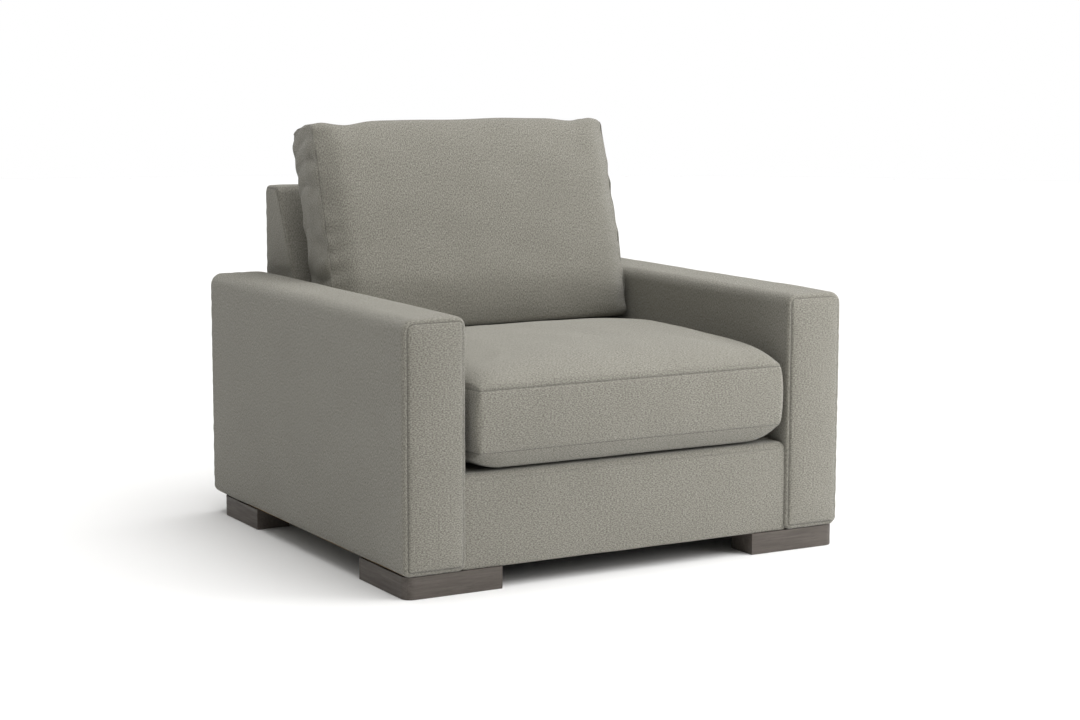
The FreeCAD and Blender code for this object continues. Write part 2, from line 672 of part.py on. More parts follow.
def zip_slider(pull_toward):
    """Slider round the teeth, parked at the -X end, with its pull lying toward -Z or +Z."""
    x0 = -ZIP_RUN + 3.0
    x1 = x0 + SLIDER_LENGTH
    middle = (x0 + x1) / 2
    inner = ZIP_TAPE_THICK + SLIDER_PLAY
    slot_top = ZIP_TAPE_THICK + ZIP_TEETH_THICK + SLIDER_PLAY
    slot_half = ZIP_TEETH_HALF + SLIDER_PLAY
    outer = slot_top + SLIDER_WALL
    body = box(x0, x1, inner, outer, -SLIDER_HALF, SLIDER_HALF)
    slot = box(x0 - 1.0, x1 + 1.0, 0.0, slot_top, -slot_half, slot_half)
    z0, z1 = sorted((-2.0 * pull_toward, PULL_LENGTH * pull_toward))
    pull = box(middle - PULL_HALF, middle + PULL_HALF, outer, outer + SLIDER_WALL, z0, z1)
    return body.cut(slot).fuse(pull).removeSplitter()


def on_seat_rear(shape):
    """Put a zip piece on the rear boxing of the seat cushion."""
    shape.translate(FreeCAD.Vector(0, SEAT_REAR, (SEAT_SEAM_LOW + SEAT_SEAM_HIGH) / 2))
    return shape


# ---- back cushion: drawn upright, then leaned back about its front bottom edge -----------------------
def lean(shape):
    """From the cushion's own frame (y = 0 on the front of its boxing, z = 0 at its foot) to the chair."""
    shape.rotate(FreeCAD.Vector(0, 0, 0), FreeCAD.Vector(1, 0, 0), -BACK_LEAN)
    shape.translate(FreeCAD.Vector(0, BACK_FOOT_Y, BACK_FOOT_Z))
    return shape


def lens(length, inset, make_point):
    """Outline of two crowned faces joined by flat ends; make_point turns (along, depth) into a vector."""
    front = inset
    rear = BACK_GUSSET - inset
    middle = length / 2
    foot_front = make_point(0, front)
    foot_rear = make_point(0, rear)
    top_front = make_point(length, front)
    top_rear = make_point(length, rear)
    return Part.Face(Part.Wire([
        arc_through(foot_front, make_point(middle, front - BACK_CROWN_FRONT), top_front),
        line(top_front, top_rear),
        arc_through(top_rear, make_point(middle, rear + BACK_CROWN_REAR), foot_rear),
        line(foot_rear, foot_front)]))


def back_form(inset):
    """Back cushion in its own frame: crowned in front and behind, both across and along its height."""
    half = BACK_HALF - inset
    length = BACK_LENGTH - 2 * inset
    profile = lens(length, inset, lambda along, depth: FreeCAD.Vector(-half, depth, along + inset))
    plan = lens(2 * half, inset, lambda along, depth: FreeCAD.Vector(along - half, depth, inset))
    top = length + inset
    body = profile.extrude(FreeCAD.Vector(2 * half, 0, 0))
    body = fillet(body, BACK_TOP_ROUND - inset, lambda a, b: a.x != b.x and min(a.z, b.z) > top - 1.0)
    return body.common(plan.extrude(FreeCAD.Vector(0, 0, length)))


def back_cushion_cover():
    """Sewn cover of the back cushion."""
    return lean(back_form(0.0).cut(back_form(CLOTH)))


def back_fill():
    """Fibre filling of the back cushion."""
    return lean(back_form(CLOTH))


def on_back_foot(shape):
    """Put a zip piece on the flat foot of the back cushion, facing down."""
    shape.rotate(FreeCAD.Vector(0, 0, 0), FreeCAD.Vector(1, 0, 0), -90.0)
    shape.translate(FreeCAD.Vector(0, BACK_GUSSET - 30.0, 0))
    return lean(shape)


# ---- build ----------------------------------------------------------------------------------------
def build_frame():
    """Wooden frame and liners."""
    save("front_rail", drilled(front_rail()))
    save("spring_rail", spring_rail())
    save("rear_rail", rear_rail())
    save("back_top_rail", back_top_rail())
    save("back_low_rail", back_low_rail())
    save("corner_blocks", corner_blocks())
    save("arm_struts", arm_struts())
    save("outside_back_liner", back_liner())
    for name, side in SIDES:
        save(name + "_front_post", drilled(on_side(arm_post(POST_FRONT), side)))
        save(name + "_rear_post", drilled(on_side(arm_post(POST_REAR - BOARD), side)))
        save(name + "_arm_top_board", on_side(arm_top_board(), side))
        save(name + "_arm_rails", drilled(on_side(arm_rails(), side)))
        save(name + "_back_side", drilled(on_side(back_side(), side)))
        save(name + "_arm_liner", on_side(arm_liner(), side))


def build_suspension():
    """Springs, clips and webbing."""
    save("seat_springs", seat_springs())
    save("spring_clips", spring_clips())
    save("back_webbing", back_webbing())


def build_upholstery():
    """Fixed padding and cloth."""
    save("front_rail_padding", front_rail_padding())
    save("front_rail_cover", front_rail_cover())
    save("deck_pad", deck_pad())
    save("deck_cloth", deck_cloth())
    save("back_padding", back_padding())
    for panel, shape in back_panels().items():
        save("back_" + panel + "_cover", shape)
    save("dust_cover", dust_cover())
    panels = arm_panels()
    for name, side in SIDES:
        save(name + "_arm_padding", on_side(arm_padding(), side))
        for panel, shape in panels.items():
            save(name + "_arm_" + panel + "_cover", on_side(shape, side))


def build_feet():
    """Feet with their screws and glides."""
    for name, side in SIDES:
        save(name + "_front_foot", on_side(foot(True), side))
        save(name + "_rear_foot", on_side(foot(False), side))
    save("foot_screws", foot_screws())
    save("foot_glides", foot_glides())


def build_cushions():
    """Loose seat and back cushions with their zips."""
    save("seat_cushion_cover", seat_cover())
    save("seat_cushion_wrap", seat_wrap())
    save("seat_cushion_foam", seat_core())
    save("seat_zip_tape", on_seat_rear(zip_tape()))
    save("seat_zip_slider", on_seat_rear(zip_slider(-1)))
    save("back_cushion_cover", back_cushion_cover())
    save("back_cushion_fill", back_fill())
    save("back_zip_tape", on_back_foot(zip_tape()))
    save("back_zip_slider", on_back_foot(zip_slider(1)))


os.makedirs("parts", exist_ok=True)
build_frame()
build_suspension()
build_upholstery()
build_feet()
build_cushions()
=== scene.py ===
"""Looks of the upholstered armchair, built round its CAD frame."""
import math

import bmesh
import bpy
import numpy as np
from mathutils import Matrix, Vector


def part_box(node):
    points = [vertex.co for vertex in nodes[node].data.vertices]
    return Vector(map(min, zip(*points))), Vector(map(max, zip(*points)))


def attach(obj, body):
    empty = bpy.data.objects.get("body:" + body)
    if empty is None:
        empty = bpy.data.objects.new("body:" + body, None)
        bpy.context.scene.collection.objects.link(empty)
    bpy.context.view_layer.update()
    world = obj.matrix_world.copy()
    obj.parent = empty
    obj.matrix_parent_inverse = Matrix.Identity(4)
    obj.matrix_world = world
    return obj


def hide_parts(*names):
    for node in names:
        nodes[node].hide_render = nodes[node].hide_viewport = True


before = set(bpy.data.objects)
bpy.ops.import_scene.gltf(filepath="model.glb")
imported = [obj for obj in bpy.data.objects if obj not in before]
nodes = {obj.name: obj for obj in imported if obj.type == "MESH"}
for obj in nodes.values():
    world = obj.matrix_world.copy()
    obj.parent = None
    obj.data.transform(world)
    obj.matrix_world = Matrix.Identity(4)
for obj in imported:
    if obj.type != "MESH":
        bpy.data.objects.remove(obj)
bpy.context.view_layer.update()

SIDES = ("left", "right")
FINE, COARSE = 0.0025, 0.008            # mesh steps at a seam and in the open
CUSHION_MESH = (0.0022, 0.0075)         # the same, for the two cushions
CLOTH_MESH = (0.009, 0.010)             # the same, for the copies that the simulation blows up
SEAM_DEPTH, SEAM_WIDTH = 0.0018, 0.0024
ARM_ROOM = 0.4025                       # half the room between the arms, in which the cushions stay
CLOTH_STEPS, SPARE_CLOTH = 20, 0.03     # frames of the cloth simulation, and its largest growth


# ---------------------------------------------------------------- geometry

def graded(length, fine, coarse, growth=0.22):
    """Fractions from 0 to 1, close together at both ends of a run of this length."""
    x = np.linspace(0.0, length, 4001)
    density = 1.0 / np.minimum(coarse, fine + growth * np.minimum(x, length - x))
    count = np.concatenate([[0.0], np.cumsum((density[1:] + density[:-1]) / 2 * np.diff(x))])
    cells = max(2, int(round(count[-1])))
    return np.interp(np.linspace(0.0, count[-1], cells + 1), count, x) / length


def rounded(corners, radii):
    """A rounded polygon as points, outward normals, lengths along it and the length at each
    corner's middle. It starts and ends at the middle of the first corner. The corners run
    counter-clockwise."""
    corners = [np.array(c, float) for c in corners]
    points, normals, middles = [], [], []
    arc = 10
    for i, corner in enumerate(corners):
        before = corner - corners[i - 1]
        after = corners[(i + 1) % len(corners)] - corner
        before, after = before / np.linalg.norm(before), after / np.linalg.norm(after)
        out = np.array([before[1], -before[0]])
        turn = math.atan2(before[0] * after[1] - before[1] * after[0], before @ after)
        radius = radii[i]
        centre = corner - before * radius * math.tan(turn / 2) - out * radius
        for k in range(2 * arc + 1):
            angle = turn * k / (2 * arc)
            c, s = math.cos(angle), math.sin(angle)
            normal = np.array([out[0] * c - out[1] * s, out[0] * s + out[1] * c])
            points.append(centre + radius * normal)
            normals.append(normal)
        middles.append(i * (2 * arc + 1) + arc)
    points = np.roll(np.array(points), -arc, axis=0)
    normals = np.roll(np.array(normals), -arc, axis=0)
    points, normals = np.vstack([points, points[:1]]), np.vstack([normals, normals[:1]])
    length = np.concatenate([[0.0], np.cumsum(np.linalg.norm(np.diff(points, axis=0), axis=1))])
    return points, normals, length, [length[m - arc] for m in middles] + [length[-1]]


class Shell:
    """A closed form: an outline carried along an axis, with a panel closing each end.
    rings are (distance along the axis, how far the outline is drawn in), quad gives the four
    corners that divide it into the sides of the panels, and reach says how much of the drawing in
    each part of the outline follows."""

    def __init__(self, corners, radii, rings, quad=(0, 1, 2, 3), fine=FINE, coarse=COARSE,
                 reach=None):
        points, normals, length, middles = rounded(corners, radii)
        breaks = [middles[k] for k in quad] + [length[-1]]
        runs = [breaks[k + 1] - breaks[k] for k in range(4)]
        across = graded(max(runs[0], runs[2]), fine, coarse)
        upward = graded(max(runs[1], runs[3]), fine, coarse)
        parts = [across, upward, 1.0 - across[::-1], 1.0 - upward[::-1]]
        at = np.concatenate([breaks[k] + parts[k][:-1] * runs[k] for k in range(4)])
        ring_p = np.stack([np.interp(at, length, points[:, k]) for k in (0, 1)], axis=1)
        ring_n = np.stack([np.interp(at, length, normals[:, k]) for k in (0, 1)], axis=1)
        ring_n /= np.linalg.norm(ring_n, axis=1)[:, None]
        n, m = len(at), len(rings)
        na, nu = len(across) - 1, len(upward) - 1
        self.n, self.m = n, m
        self.at, self.round = at, length[-1]
        self.across, self.upward, self.levels = across, upward, np.array([r[0] for r in rings])
        v = np.array([r[0] for r in rings])
        inset = np.array([r[1] for r in rings])
        run = np.concatenate([[0.0], np.cumsum(np.hypot(np.diff(v), np.diff(inset)))])
        slope = np.gradient(inset, run + 1e-9 * np.arange(m))
        share = np.ones(n) if reach is None else reach(ring_n)
        tube = ring_p[None] - ring_n[None] * (inset[:, None] * share[None])[..., None]
        tube_v = np.repeat(v[:, None], n, axis=1)
        lean = np.clip(slope, -1.0, 1.0)
        flat = np.sqrt(np.clip(1.0 - lean ** 2, 0.0, 1.0))
        tube_n = np.concatenate([ring_n[None] * flat[:, None, None],
                                 np.repeat(lean[:, None], n, axis=1)[..., None]], axis=2)
        co = [np.concatenate([tube, tube_v[..., None]], axis=2).reshape(-1, 3)]
        nor = [tube_n.reshape(-1, 3)]
        kind = [np.zeros(n * m, int)]
        s_all = [np.repeat((at / length[-1])[None], m, axis=0).ravel()]
        t_all = [np.repeat(run / run[-1], n)]
        edge = [np.repeat(np.minimum(run, run[-1] - run), n)]
        along = [np.tile(at, m)]
        faces = []
        idx = np.arange(n * m).reshape(m, n)
        nxt = np.roll(idx, -1, axis=1)
        quads = np.stack([idx[:-1], nxt[:-1], nxt[1:], idx[1:]], axis=2).reshape(-1, 4)
        faces.append(quads)
        total = n * m
        self.caps = []
        for end, row in ((1, 0), (2, m - 1)):
            grid = np.full((na + 1, nu + 1), -1)
            ring = idx[row]
            grid[:, 0] = ring[np.arange(0, na + 1)]
            grid[na, :] = ring[np.arange(na, na + nu + 1)]
            grid[:, nu] = ring[np.arange(na + nu, 2 * na + nu + 1)][::-1]
            grid[0, :] = ring[np.arange(2 * na + nu, 2 * na + 2 * nu + 1) % n][::-1]
            inner = grid[1:-1, 1:-1]
            inner[...] = total + np.arange(inner.size).reshape(inner.shape)
            total += inner.size
            p = tube[row]
            edges = [p[grid[:, 0] - row * n], p[grid[na, :] - row * n],
                     p[grid[:, nu] - row * n], p[grid[0, :] - row * n]]
            s, t = across[:, None, None], upward[None, :, None]
            patch = ((1 - t) * edges[0][:, None] + t * edges[2][:, None]
                     + (1 - s) * edges[3][None] + s * edges[1][None]
                     - (1 - s) * (1 - t) * edges[0][0] - s * (1 - t) * edges[0][-1]
                     - (1 - s) * t * edges[2][0] - s * t * edges[2][-1])
            wide = np.linalg.norm(patch[-1] - patch[0], axis=1)[None]
            tall = np.linalg.norm(patch[:, -1] - patch[:, 0], axis=1)[:, None]
            s2, t2 = np.broadcast_arrays(across[:, None], upward[None])
            gaps = np.stack([s2 * wide, (1 - s2) * wide, t2 * tall, (1 - t2) * tall])
            near = gaps.min(axis=0)
            which = gaps.argmin(axis=0)
            loop = np.choose(which, [length[-1] - t2 * runs[3], breaks[1] + t2 * runs[1],
                                     s2 * runs[0], breaks[3] - s2 * runs[2]])
            body = (slice(1, -1), slice(1, -1))
            level = np.full(inner.shape + (1,), v[row])
            co.append(np.concatenate([patch[body], level], axis=2).reshape(-1, 3))
            sign = -1.0 if end == 1 else 1.0
            nor.append(np.tile([0.0, 0.0, sign], (inner.size, 1)))
            kind.append(np.full(inner.size, end))
            s_all.append(s2[body].ravel())
            t_all.append(t2[body].ravel())
            edge.append(near[body].ravel())
            along.append(loop[body].ravel())
            quads = np.stack([grid[:-1, :-1], grid[1:, :-1], grid[1:, 1:], grid[:-1, 1:]],
                             axis=2)
            faces.append((quads[..., ::-1] if end == 1 else quads).reshape(-1, 4))
            self.caps.append(grid)
        self.co, self.nor = np.concatenate(co), np.concatenate(nor)
        self.kind = np.concatenate(kind)
        self.s, self.t = np.concatenate(s_all), np.concatenate(t_all)
        self.edge, self.along = np.concatenate(edge), np.concatenate(along)
        self.faces = np.concatenate(faces)
        # where the cloth's colour gets painted seam shade
        self.seam = np.zeros(len(self.co))
        self.fixed = self.edge < 1e-6

    def cloth(self):
        """Each face corner's place on its own flat panel, in metres, from lengths along the
        finished surface."""
        def along(points, axis):
            step = np.linalg.norm(np.diff(points, axis=axis), axis=2)
            zero = np.zeros_like(step.take([0], axis))
            run = np.concatenate([zero, np.cumsum(step, axis=axis)], axis=axis)
            return run - run.take([run.shape[axis] // 2], axis)

        def corners(u, v):
            pairs = np.stack([u, v], axis=2)
            return np.stack([pairs[:-1, :-1], pairs[:-1, 1:], pairs[1:, 1:], pairs[1:, :-1]],
                            axis=2)

        tube = self.co[:self.n * self.m].reshape(self.m, self.n, 3)
        tube = np.concatenate([tube, tube[:, :1]], axis=1)
        uvs = [corners(along(tube, 1), along(tube, 0))]
        for end, grid in enumerate(self.caps):
            points = self.co[grid]
            place = corners(along(points, 1), along(points, 0))[..., ::-1]
            place = place[:, :, [0, 3, 2, 1]]
            uvs.append(place[:, :, ::-1] if end == 0 else place)
        return np.concatenate([uv.reshape(-1, 4, 2) for uv in uvs])

    def push(self, amount):
        """Moves each point outward."""
        self.co = self.co + self.nor * np.asarray(amount)[:, None]

    def crease(self, distance, depth=SEAM_DEPTH):
        """Sinks a seam, and marks it for painted shade in the cloth's colour."""
        dip = np.exp(-(distance / SEAM_WIDTH) ** 2)
        self.push(-depth * dip)
        self.seam = np.maximum(self.seam, dip)


def ripple(co, wavelength, seed, terms=14):
    """A smooth irregular field of about -1 to 1, from waves in many directions."""
    rng = np.random.RandomState(seed)
    total = np.zeros(len(co))
    for _ in range(terms):
        direction = rng.normal(size=3)
        direction /= np.linalg.norm(direction)
        pace = 2 * math.pi / (wavelength * rng.uniform(0.7, 1.5))
        total += np.sin(co @ direction * pace + rng.uniform(0, 2 * math.pi))
    return total / math.sqrt(terms)


def puckers(shell, seed, reach=0.016, wavelength=0.030, terms=6):
    """Small gathers that run away from a seam."""
    rng = np.random.RandomState(seed)
    wave = np.zeros(len(shell.co))
    for _ in range(terms):
        turns = round(shell.round / (wavelength * rng.uniform(0.75, 1.9)))
        phase = rng.uniform(0, 2 * math.pi)
        wave += np.sin(2 * math.pi * turns * shell.along / shell.round + phase)
    fade = np.exp(-shell.edge / reach)
    return wave / math.sqrt(terms) * fade * np.clip(shell.edge / 0.003, 0.0, 1.0)


def rise(a, power, sharp):
    """1 in the middle of a panel and 0 at its edges, for a from -1 to 1."""
    return np.clip(1.0 - np.abs(a) ** power, 0.0, 1.0) ** sharp


def smooth(x):
    x = np.clip(x, 0.0, 1.0)
    return x * x * (3.0 - 2.0 * x)


def shoulder(distance, width):
    """0 at a seam and 1 from width away, round like the quarter of an ellipse."""
    return np.sqrt(np.clip(1.0 - np.clip(1.0 - distance / width, 0.0, 1.0) ** 2, 0.0, 1.0))


def bevel(distance, width, soft=0.45):
    """0 at a seam and 1 from width away, straight in between with a soft turn at the top."""
    short = 1.0 - distance / width
    return 1.0 - (short + np.sqrt(short ** 2 + soft ** 2)) / 2


def within(x, room, soft=0.001):
    """x, held softly between -room and room."""
    past = np.clip((np.abs(x) - room) / soft, -30, 30)
    return np.sign(x) * (np.abs(x) - soft * np.log1p(np.exp(past)))


def edge_rings(v0, v1, r0, r1):
    """Rings of a form whose two ends are rounded over by r0 and r1."""
    rings = []
    step = 0.002
    steps = max(3, int(math.ceil(r0 / step)))
    for k in range(steps):
        angle = math.pi / 2 * k / steps
        rings.append((v0 + r0 * (1 - math.cos(angle)), r0 * (1 - math.sin(angle))))
    run = v1 - r1 - v0 - r0
    rings += [(v0 + r0 + f * run, 0.0) for f in graded(run, FINE, COARSE)]
    steps = max(3, int(math.ceil(r1 / step)))
    for k in range(1, steps + 1):
        angle = math.pi / 2 * k / steps
        rings.append((v1 - r1 + r1 * math.sin(angle), r1 * (1 - math.cos(angle))))
    return rings


def resample(field, source, target, axis):
    """A grid of values moved from one set of stations to another, along one axis, by a smooth
    curve."""
    place = np.interp(target, source, np.arange(len(source)))
    first = np.clip(np.floor(place).astype(int), 0, len(source) - 2)
    t = (place - first).reshape([-1 if k == axis else 1 for k in range(field.ndim)])
    last = len(source) - 1
    p0, p1, p2, p3 = (field.take(np.clip(first + k, 0, last), axis) for k in (-1, 0, 1, 2))
    cubic = t * (3 * (p1 - p2) + p3 - p0)
    return p1 + 0.5 * t * (p2 - p0 + t * (2 * p0 - 5 * p1 + 4 * p2 - p3 + cubic))


def soften(field):
    """A grid of moves with its smallest crumples smoothed away. Its first and last rows are held
    seams."""
    for _ in range(3):
        for axis in (0, 1):
            field = (2 * field + np.roll(field, 1, axis) + np.roll(field, -1, axis)) / 4
        field[0] = field[-1] = 0.0
    return field


def volume_sign(co, faces):
    """Positive where the faces of a closed mesh look outward."""
    corners = [co[faces[:, k]] for k in range(4)]
    volume = np.einsum("ij,ij->i", corners[0], np.cross(corners[1], corners[2])).sum()
    return volume + np.einsum("ij,ij->i", corners[0], np.cross(corners[2], corners[3])).sum()


def inflate(shell, coarse, loose, pressure, limit, seed):
    """Blows a coarse copy of the cushion up as cloth held at its seams, and gives its swelling to
    the shell. loose says how much spare cloth each point has, from 0 to 1, and limit how far it may
    move."""
    mesh = bpy.data.meshes.new("blown")
    start = coarse.co.copy()
    mesh.from_pydata(start.tolist(), [], coarse.faces.tolist())
    blown = bpy.data.objects.new("blown", mesh)
    bpy.context.scene.collection.objects.link(blown)
    if volume_sign(start, coarse.faces) < 0:
        mesh.flip_normals()
    seam = blown.vertex_groups.new(name="seam")
    seam.add([int(i) for i in np.flatnonzero(coarse.fixed)], 1.0, "REPLACE")
    slack = blown.vertex_groups.new(name="slack")
    for i, weight in enumerate(loose * (0.6 + 0.4 * np.clip(ripple(start, 0.09, seed), -1, 1))):
        slack.add([i], float(weight), "REPLACE")
    cloth = blown.modifiers.new("cloth", "CLOTH")
    settings = cloth.settings
    settings.quality = 5
    settings.mass = 0.4
    settings.tension_stiffness = settings.compression_stiffness = 30.0
    settings.shear_stiffness = 12.0
    settings.bending_stiffness = 0.8
    settings.use_pressure = True
    settings.uniform_pressure_force = pressure
    settings.vertex_group_mass = "seam"
    settings.pin_stiffness = 1.0
    settings.vertex_group_shrink = "slack"
    settings.shrink_min, settings.shrink_max = 0.0, -SPARE_CLOTH
    settings.effector_weights.gravity = 0.0
    cloth.collision_settings.use_collision = False
    scene = bpy.context.scene
    for step in range(1, CLOTH_STEPS + 1):
        scene.frame_set(step)
    shape = blown.evaluated_get(bpy.context.evaluated_depsgraph_get()).to_mesh()
    end = np.empty(len(start) * 3)
    shape.vertices.foreach_get("co", end)
    move = end.reshape(-1, 3) - start
    size = np.linalg.norm(move, axis=1)[:, None] + 1e-9
    limit = np.broadcast_to(limit, len(start))[:, None]
    move *= limit * np.tanh(size / limit) / size
    move[coarse.fixed] = 0.0
    bpy.data.objects.remove(blown)
    bpy.data.meshes.remove(mesh)
    scene.frame_set(1)
    tube = soften(move[:coarse.n * coarse.m].reshape(coarse.m, coarse.n, 3))
    tube = np.concatenate([tube, tube[:, :1]], axis=1)
    tube = resample(tube, np.append(coarse.at, coarse.at[0] + coarse.round), shell.at, 1)
    result = np.zeros_like(shell.co)
    result[:shell.n * shell.m] = resample(tube, coarse.levels, shell.levels, 0).reshape(-1, 3)
    for grid, rough in zip(shell.caps, coarse.caps):
        field = soften(move[rough])
        field[:, 0] = field[:, -1] = 0.0
        field = resample(field, coarse.across, shell.across, 0)
        field = resample(field, coarse.upward, shell.upward, 1)
        result[grid[1:-1, 1:-1]] = field[1:-1, 1:-1]
    shell.co = shell.co + result


def add_piece(name, shell, place, material, body, stands_for=()):
    """Makes the Blender object. place turns the shell's own coordinates into world ones."""
    world = place(shell.co)
    mesh = bpy.data.meshes.new(name)
    faces, uvs = shell.faces, shell.cloth()
    if volume_sign(world, faces) < 0:
        faces, uvs = faces[:, ::-1], uvs[:, ::-1]
    mesh.vertices.add(len(world))
    mesh.vertices.foreach_set("co", world.ravel())
    mesh.loops.add(faces.size)
    mesh.loops.foreach_set("vertex_index", faces.ravel())
    mesh.polygons.add(len(faces))
    mesh.polygons.foreach_set("loop_start", np.arange(0, faces.size, 4))
    mesh.polygons.foreach_set("use_smooth", np.ones(len(faces), bool))
    mesh.update(calc_edges=True)
    layer = mesh.uv_layers.new(name="cloth")
    layer.data.foreach_set("uv", uvs.ravel())
    # the seam attribute carries the painted seam shade into the cloth's colour
    seam = mesh.attributes.new("seam", "FLOAT", "POINT")
    seam.data.foreach_set("value", shell.seam)
    mesh.validate()
    obj = bpy.data.objects.new(name, mesh)
    bpy.context.scene.collection.objects.link(obj)
    mesh.materials.append(material)
    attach(obj, body)
    if stands_for:
        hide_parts(*stands_for)
    return obj


# ---------------------------------------------------------------- materials

class Graph:
    """Short ways to add shader nodes."""

    def __init__(self, name):
        self.material = bpy.data.materials.new(name)
        self.material.use_nodes = True
        self.tree = self.material.node_tree
        self.shader = self.tree.nodes["Principled BSDF"]

    def node(self, kind, **settings):
        node = self.tree.nodes.new(kind)
        for key, value in settings.items():
            setattr(node, key, value)
        return node

    def link(self, a, b):
        self.tree.links.new(a, b)

    def put(self, socket, value):
        if hasattr(value, "is_linked"):
            self.link(value, socket)
        else:
            socket.default_value = value

    def math(self, operation, a, b=0.0):
        node = self.node("ShaderNodeMath", operation=operation)
        self.put(node.inputs[0], a)
        self.put(node.inputs[1], b)
        return node.outputs[0]

    def stretch(self, vector, scale):
        node = self.node("ShaderNodeVectorMath", operation="MULTIPLY")
        self.link(vector, node.inputs[0])
        node.inputs[1].default_value = scale
        return node.outputs[0]

    def noise(self, vector, scale, detail=2.0, rough=0.5):
        node = self.node("ShaderNodeTexNoise")
        self.link(vector, node.inputs["Vector"])
        node.inputs["Scale"].default_value = scale
        node.inputs["Detail"].default_value = detail
        node.inputs["Roughness"].default_value = rough
        return node.outputs["Fac"]

    def ramp(self, value, low, high, to_low=0.0, to_high=1.0):
        node = self.node("ShaderNodeMapRange", clamp=True)
        self.link(value, node.inputs["Value"])
        limits = {"From Min": low, "From Max": high, "To Min": to_low, "To Max": to_high}
        for key, number in limits.items():
            node.inputs[key].default_value = number
        return node.outputs["Result"]

    def mix(self, amount, a, b):
        node = self.node("ShaderNodeMix", data_type="RGBA")
        self.put(node.inputs["Factor"], amount)
        self.put(node.inputs["A"], a)
        self.put(node.inputs["B"], b)
        return node.outputs["Result"]

    def bump(self, height, depth, strength):
        node = self.node("ShaderNodeBump")
        self.link(height, node.inputs["Height"])
        node.inputs["Distance"].default_value = depth
        node.inputs["Strength"].default_value = strength
        self.link(node.outputs["Normal"], self.shader.inputs["Normal"])

    def place(self):
        return self.node("ShaderNodeTexCoord").outputs["Object"]


def linear(r, g, b):
    """A colour given as it looks, 0 to 255, as the linear one that the shader needs."""
    def one(c):
        c /= 255.0
        return c / 12.92 if c <= 0.04045 else ((c + 0.055) / 1.055) ** 2.4
    return (one(r), one(g), one(b), 1.0)


WANDER_SCALE = 90.0                     # how quickly the threads wander off their line
SLUB_SCALE, SLUB_SQUASH = 620.0, 0.35   # size of the slubs, and how drawn out they are
CLOTH_ROUGH = 0.88


def woven(name, colour, dark, light, pitch, threads=None, sheen=0.25, seams=True):
    """A plain weave of slubby threads, on the piece's own cloth coordinates. Where threads names
    two axes, it lies along those instead. Its colour carries painted shade in the gaps between
    threads and, where seams is set, painted shade along the seams."""
    g = Graph(name)
    if threads is None:
        where = g.node("ShaderNodeUVMap", uv_map="cloth").outputs["UV"]
    else:
        where = g.place()
    wander = g.node("ShaderNodeTexNoise")
    g.link(where, wander.inputs["Vector"])
    wander.inputs["Scale"].default_value = WANDER_SCALE
    shift = g.stretch(wander.outputs["Color"], (pitch * 0.9,) * 3)
    moved = g.node("ShaderNodeVectorMath", operation="ADD")
    g.link(where, moved.inputs[0])
    g.link(shift, moved.inputs[1])
    axes = g.node("ShaderNodeSeparateXYZ")
    g.link(moved.outputs[0], axes.inputs[0])
    first, second = (axes.outputs[k] for k in (threads or (0, 1)))
    warp = g.math("SINE", g.math("MULTIPLY", first, math.pi / pitch))
    weft = g.math("SINE", g.math("MULTIPLY", second, math.pi / pitch))
    over = g.math("GREATER_THAN", g.math("MULTIPLY", warp, weft), 0.0)
    up = g.math("MULTIPLY", over, g.math("ABSOLUTE", warp))
    down = g.math("MULTIPLY", g.math("SUBTRACT", 1.0, over), g.math("ABSOLUTE", weft))
    weave = g.math("ADD", up, down)
    along_weft = g.noise(g.stretch(where, (SLUB_SQUASH, 1.0, 1.0)), SLUB_SCALE, 2.0)
    along_warp = g.noise(g.stretch(where, (1.0, SLUB_SQUASH, 1.0)), SLUB_SCALE, 2.0)
    slub = g.math("ADD", g.math("MULTIPLY", along_weft, 0.7), g.math("MULTIPLY", along_warp, 0.3))
    fleck = g.ramp(slub, 0.41, 0.59)
    broad = g.noise(where, 7.0, 3.0)
    tone = g.mix(fleck, linear(*dark), linear(*light))
    tone = g.mix(0.8, linear(*colour), tone)
    tone = g.mix(g.ramp(broad, 0.3, 0.7, 0.0, 0.12), tone, linear(*dark))
    # painted shade: the colour is darkened in the gaps between threads, where shade falls
    gaps = g.ramp(weave, 0.0, 0.55, 0.30, 0.0)
    tone = g.mix(gaps, tone, linear(*[c * 0.62 for c in dark]))
    # painted shade: the colour darkens along the seams, where shade falls in their sunk crease
    if seams:
        seam_shade_mask = g.node("ShaderNodeAttribute", attribute_name="seam").outputs["Fac"]
        shade = linear(*[c * 0.45 for c in dark])
        tone = g.mix(g.ramp(seam_shade_mask, 0.6, 1.0, 0.0, 0.5), tone, shade)
    g.link(tone, g.shader.inputs["Base Color"])
    rough = g.ramp(slub, 0.3, 0.7, CLOTH_ROUGH - 0.06, CLOTH_ROUGH + 0.06)
    g.link(rough, g.shader.inputs["Roughness"])
    g.shader.inputs["Sheen Weight"].default_value = sheen
    g.shader.inputs["Sheen Roughness"].default_value = 0.45
    g.shader.inputs["Specular IOR Level"].default_value = 0.25
    height = g.math("ADD", g.math("MULTIPLY", weave, 0.55), g.math("MULTIPLY", fleck, 0.8))
    g.bump(height, pitch * 0.55, 0.75)
    return g.material


WOOD_ROUGH, GRAIN_SQUASH = 0.55, 0.06


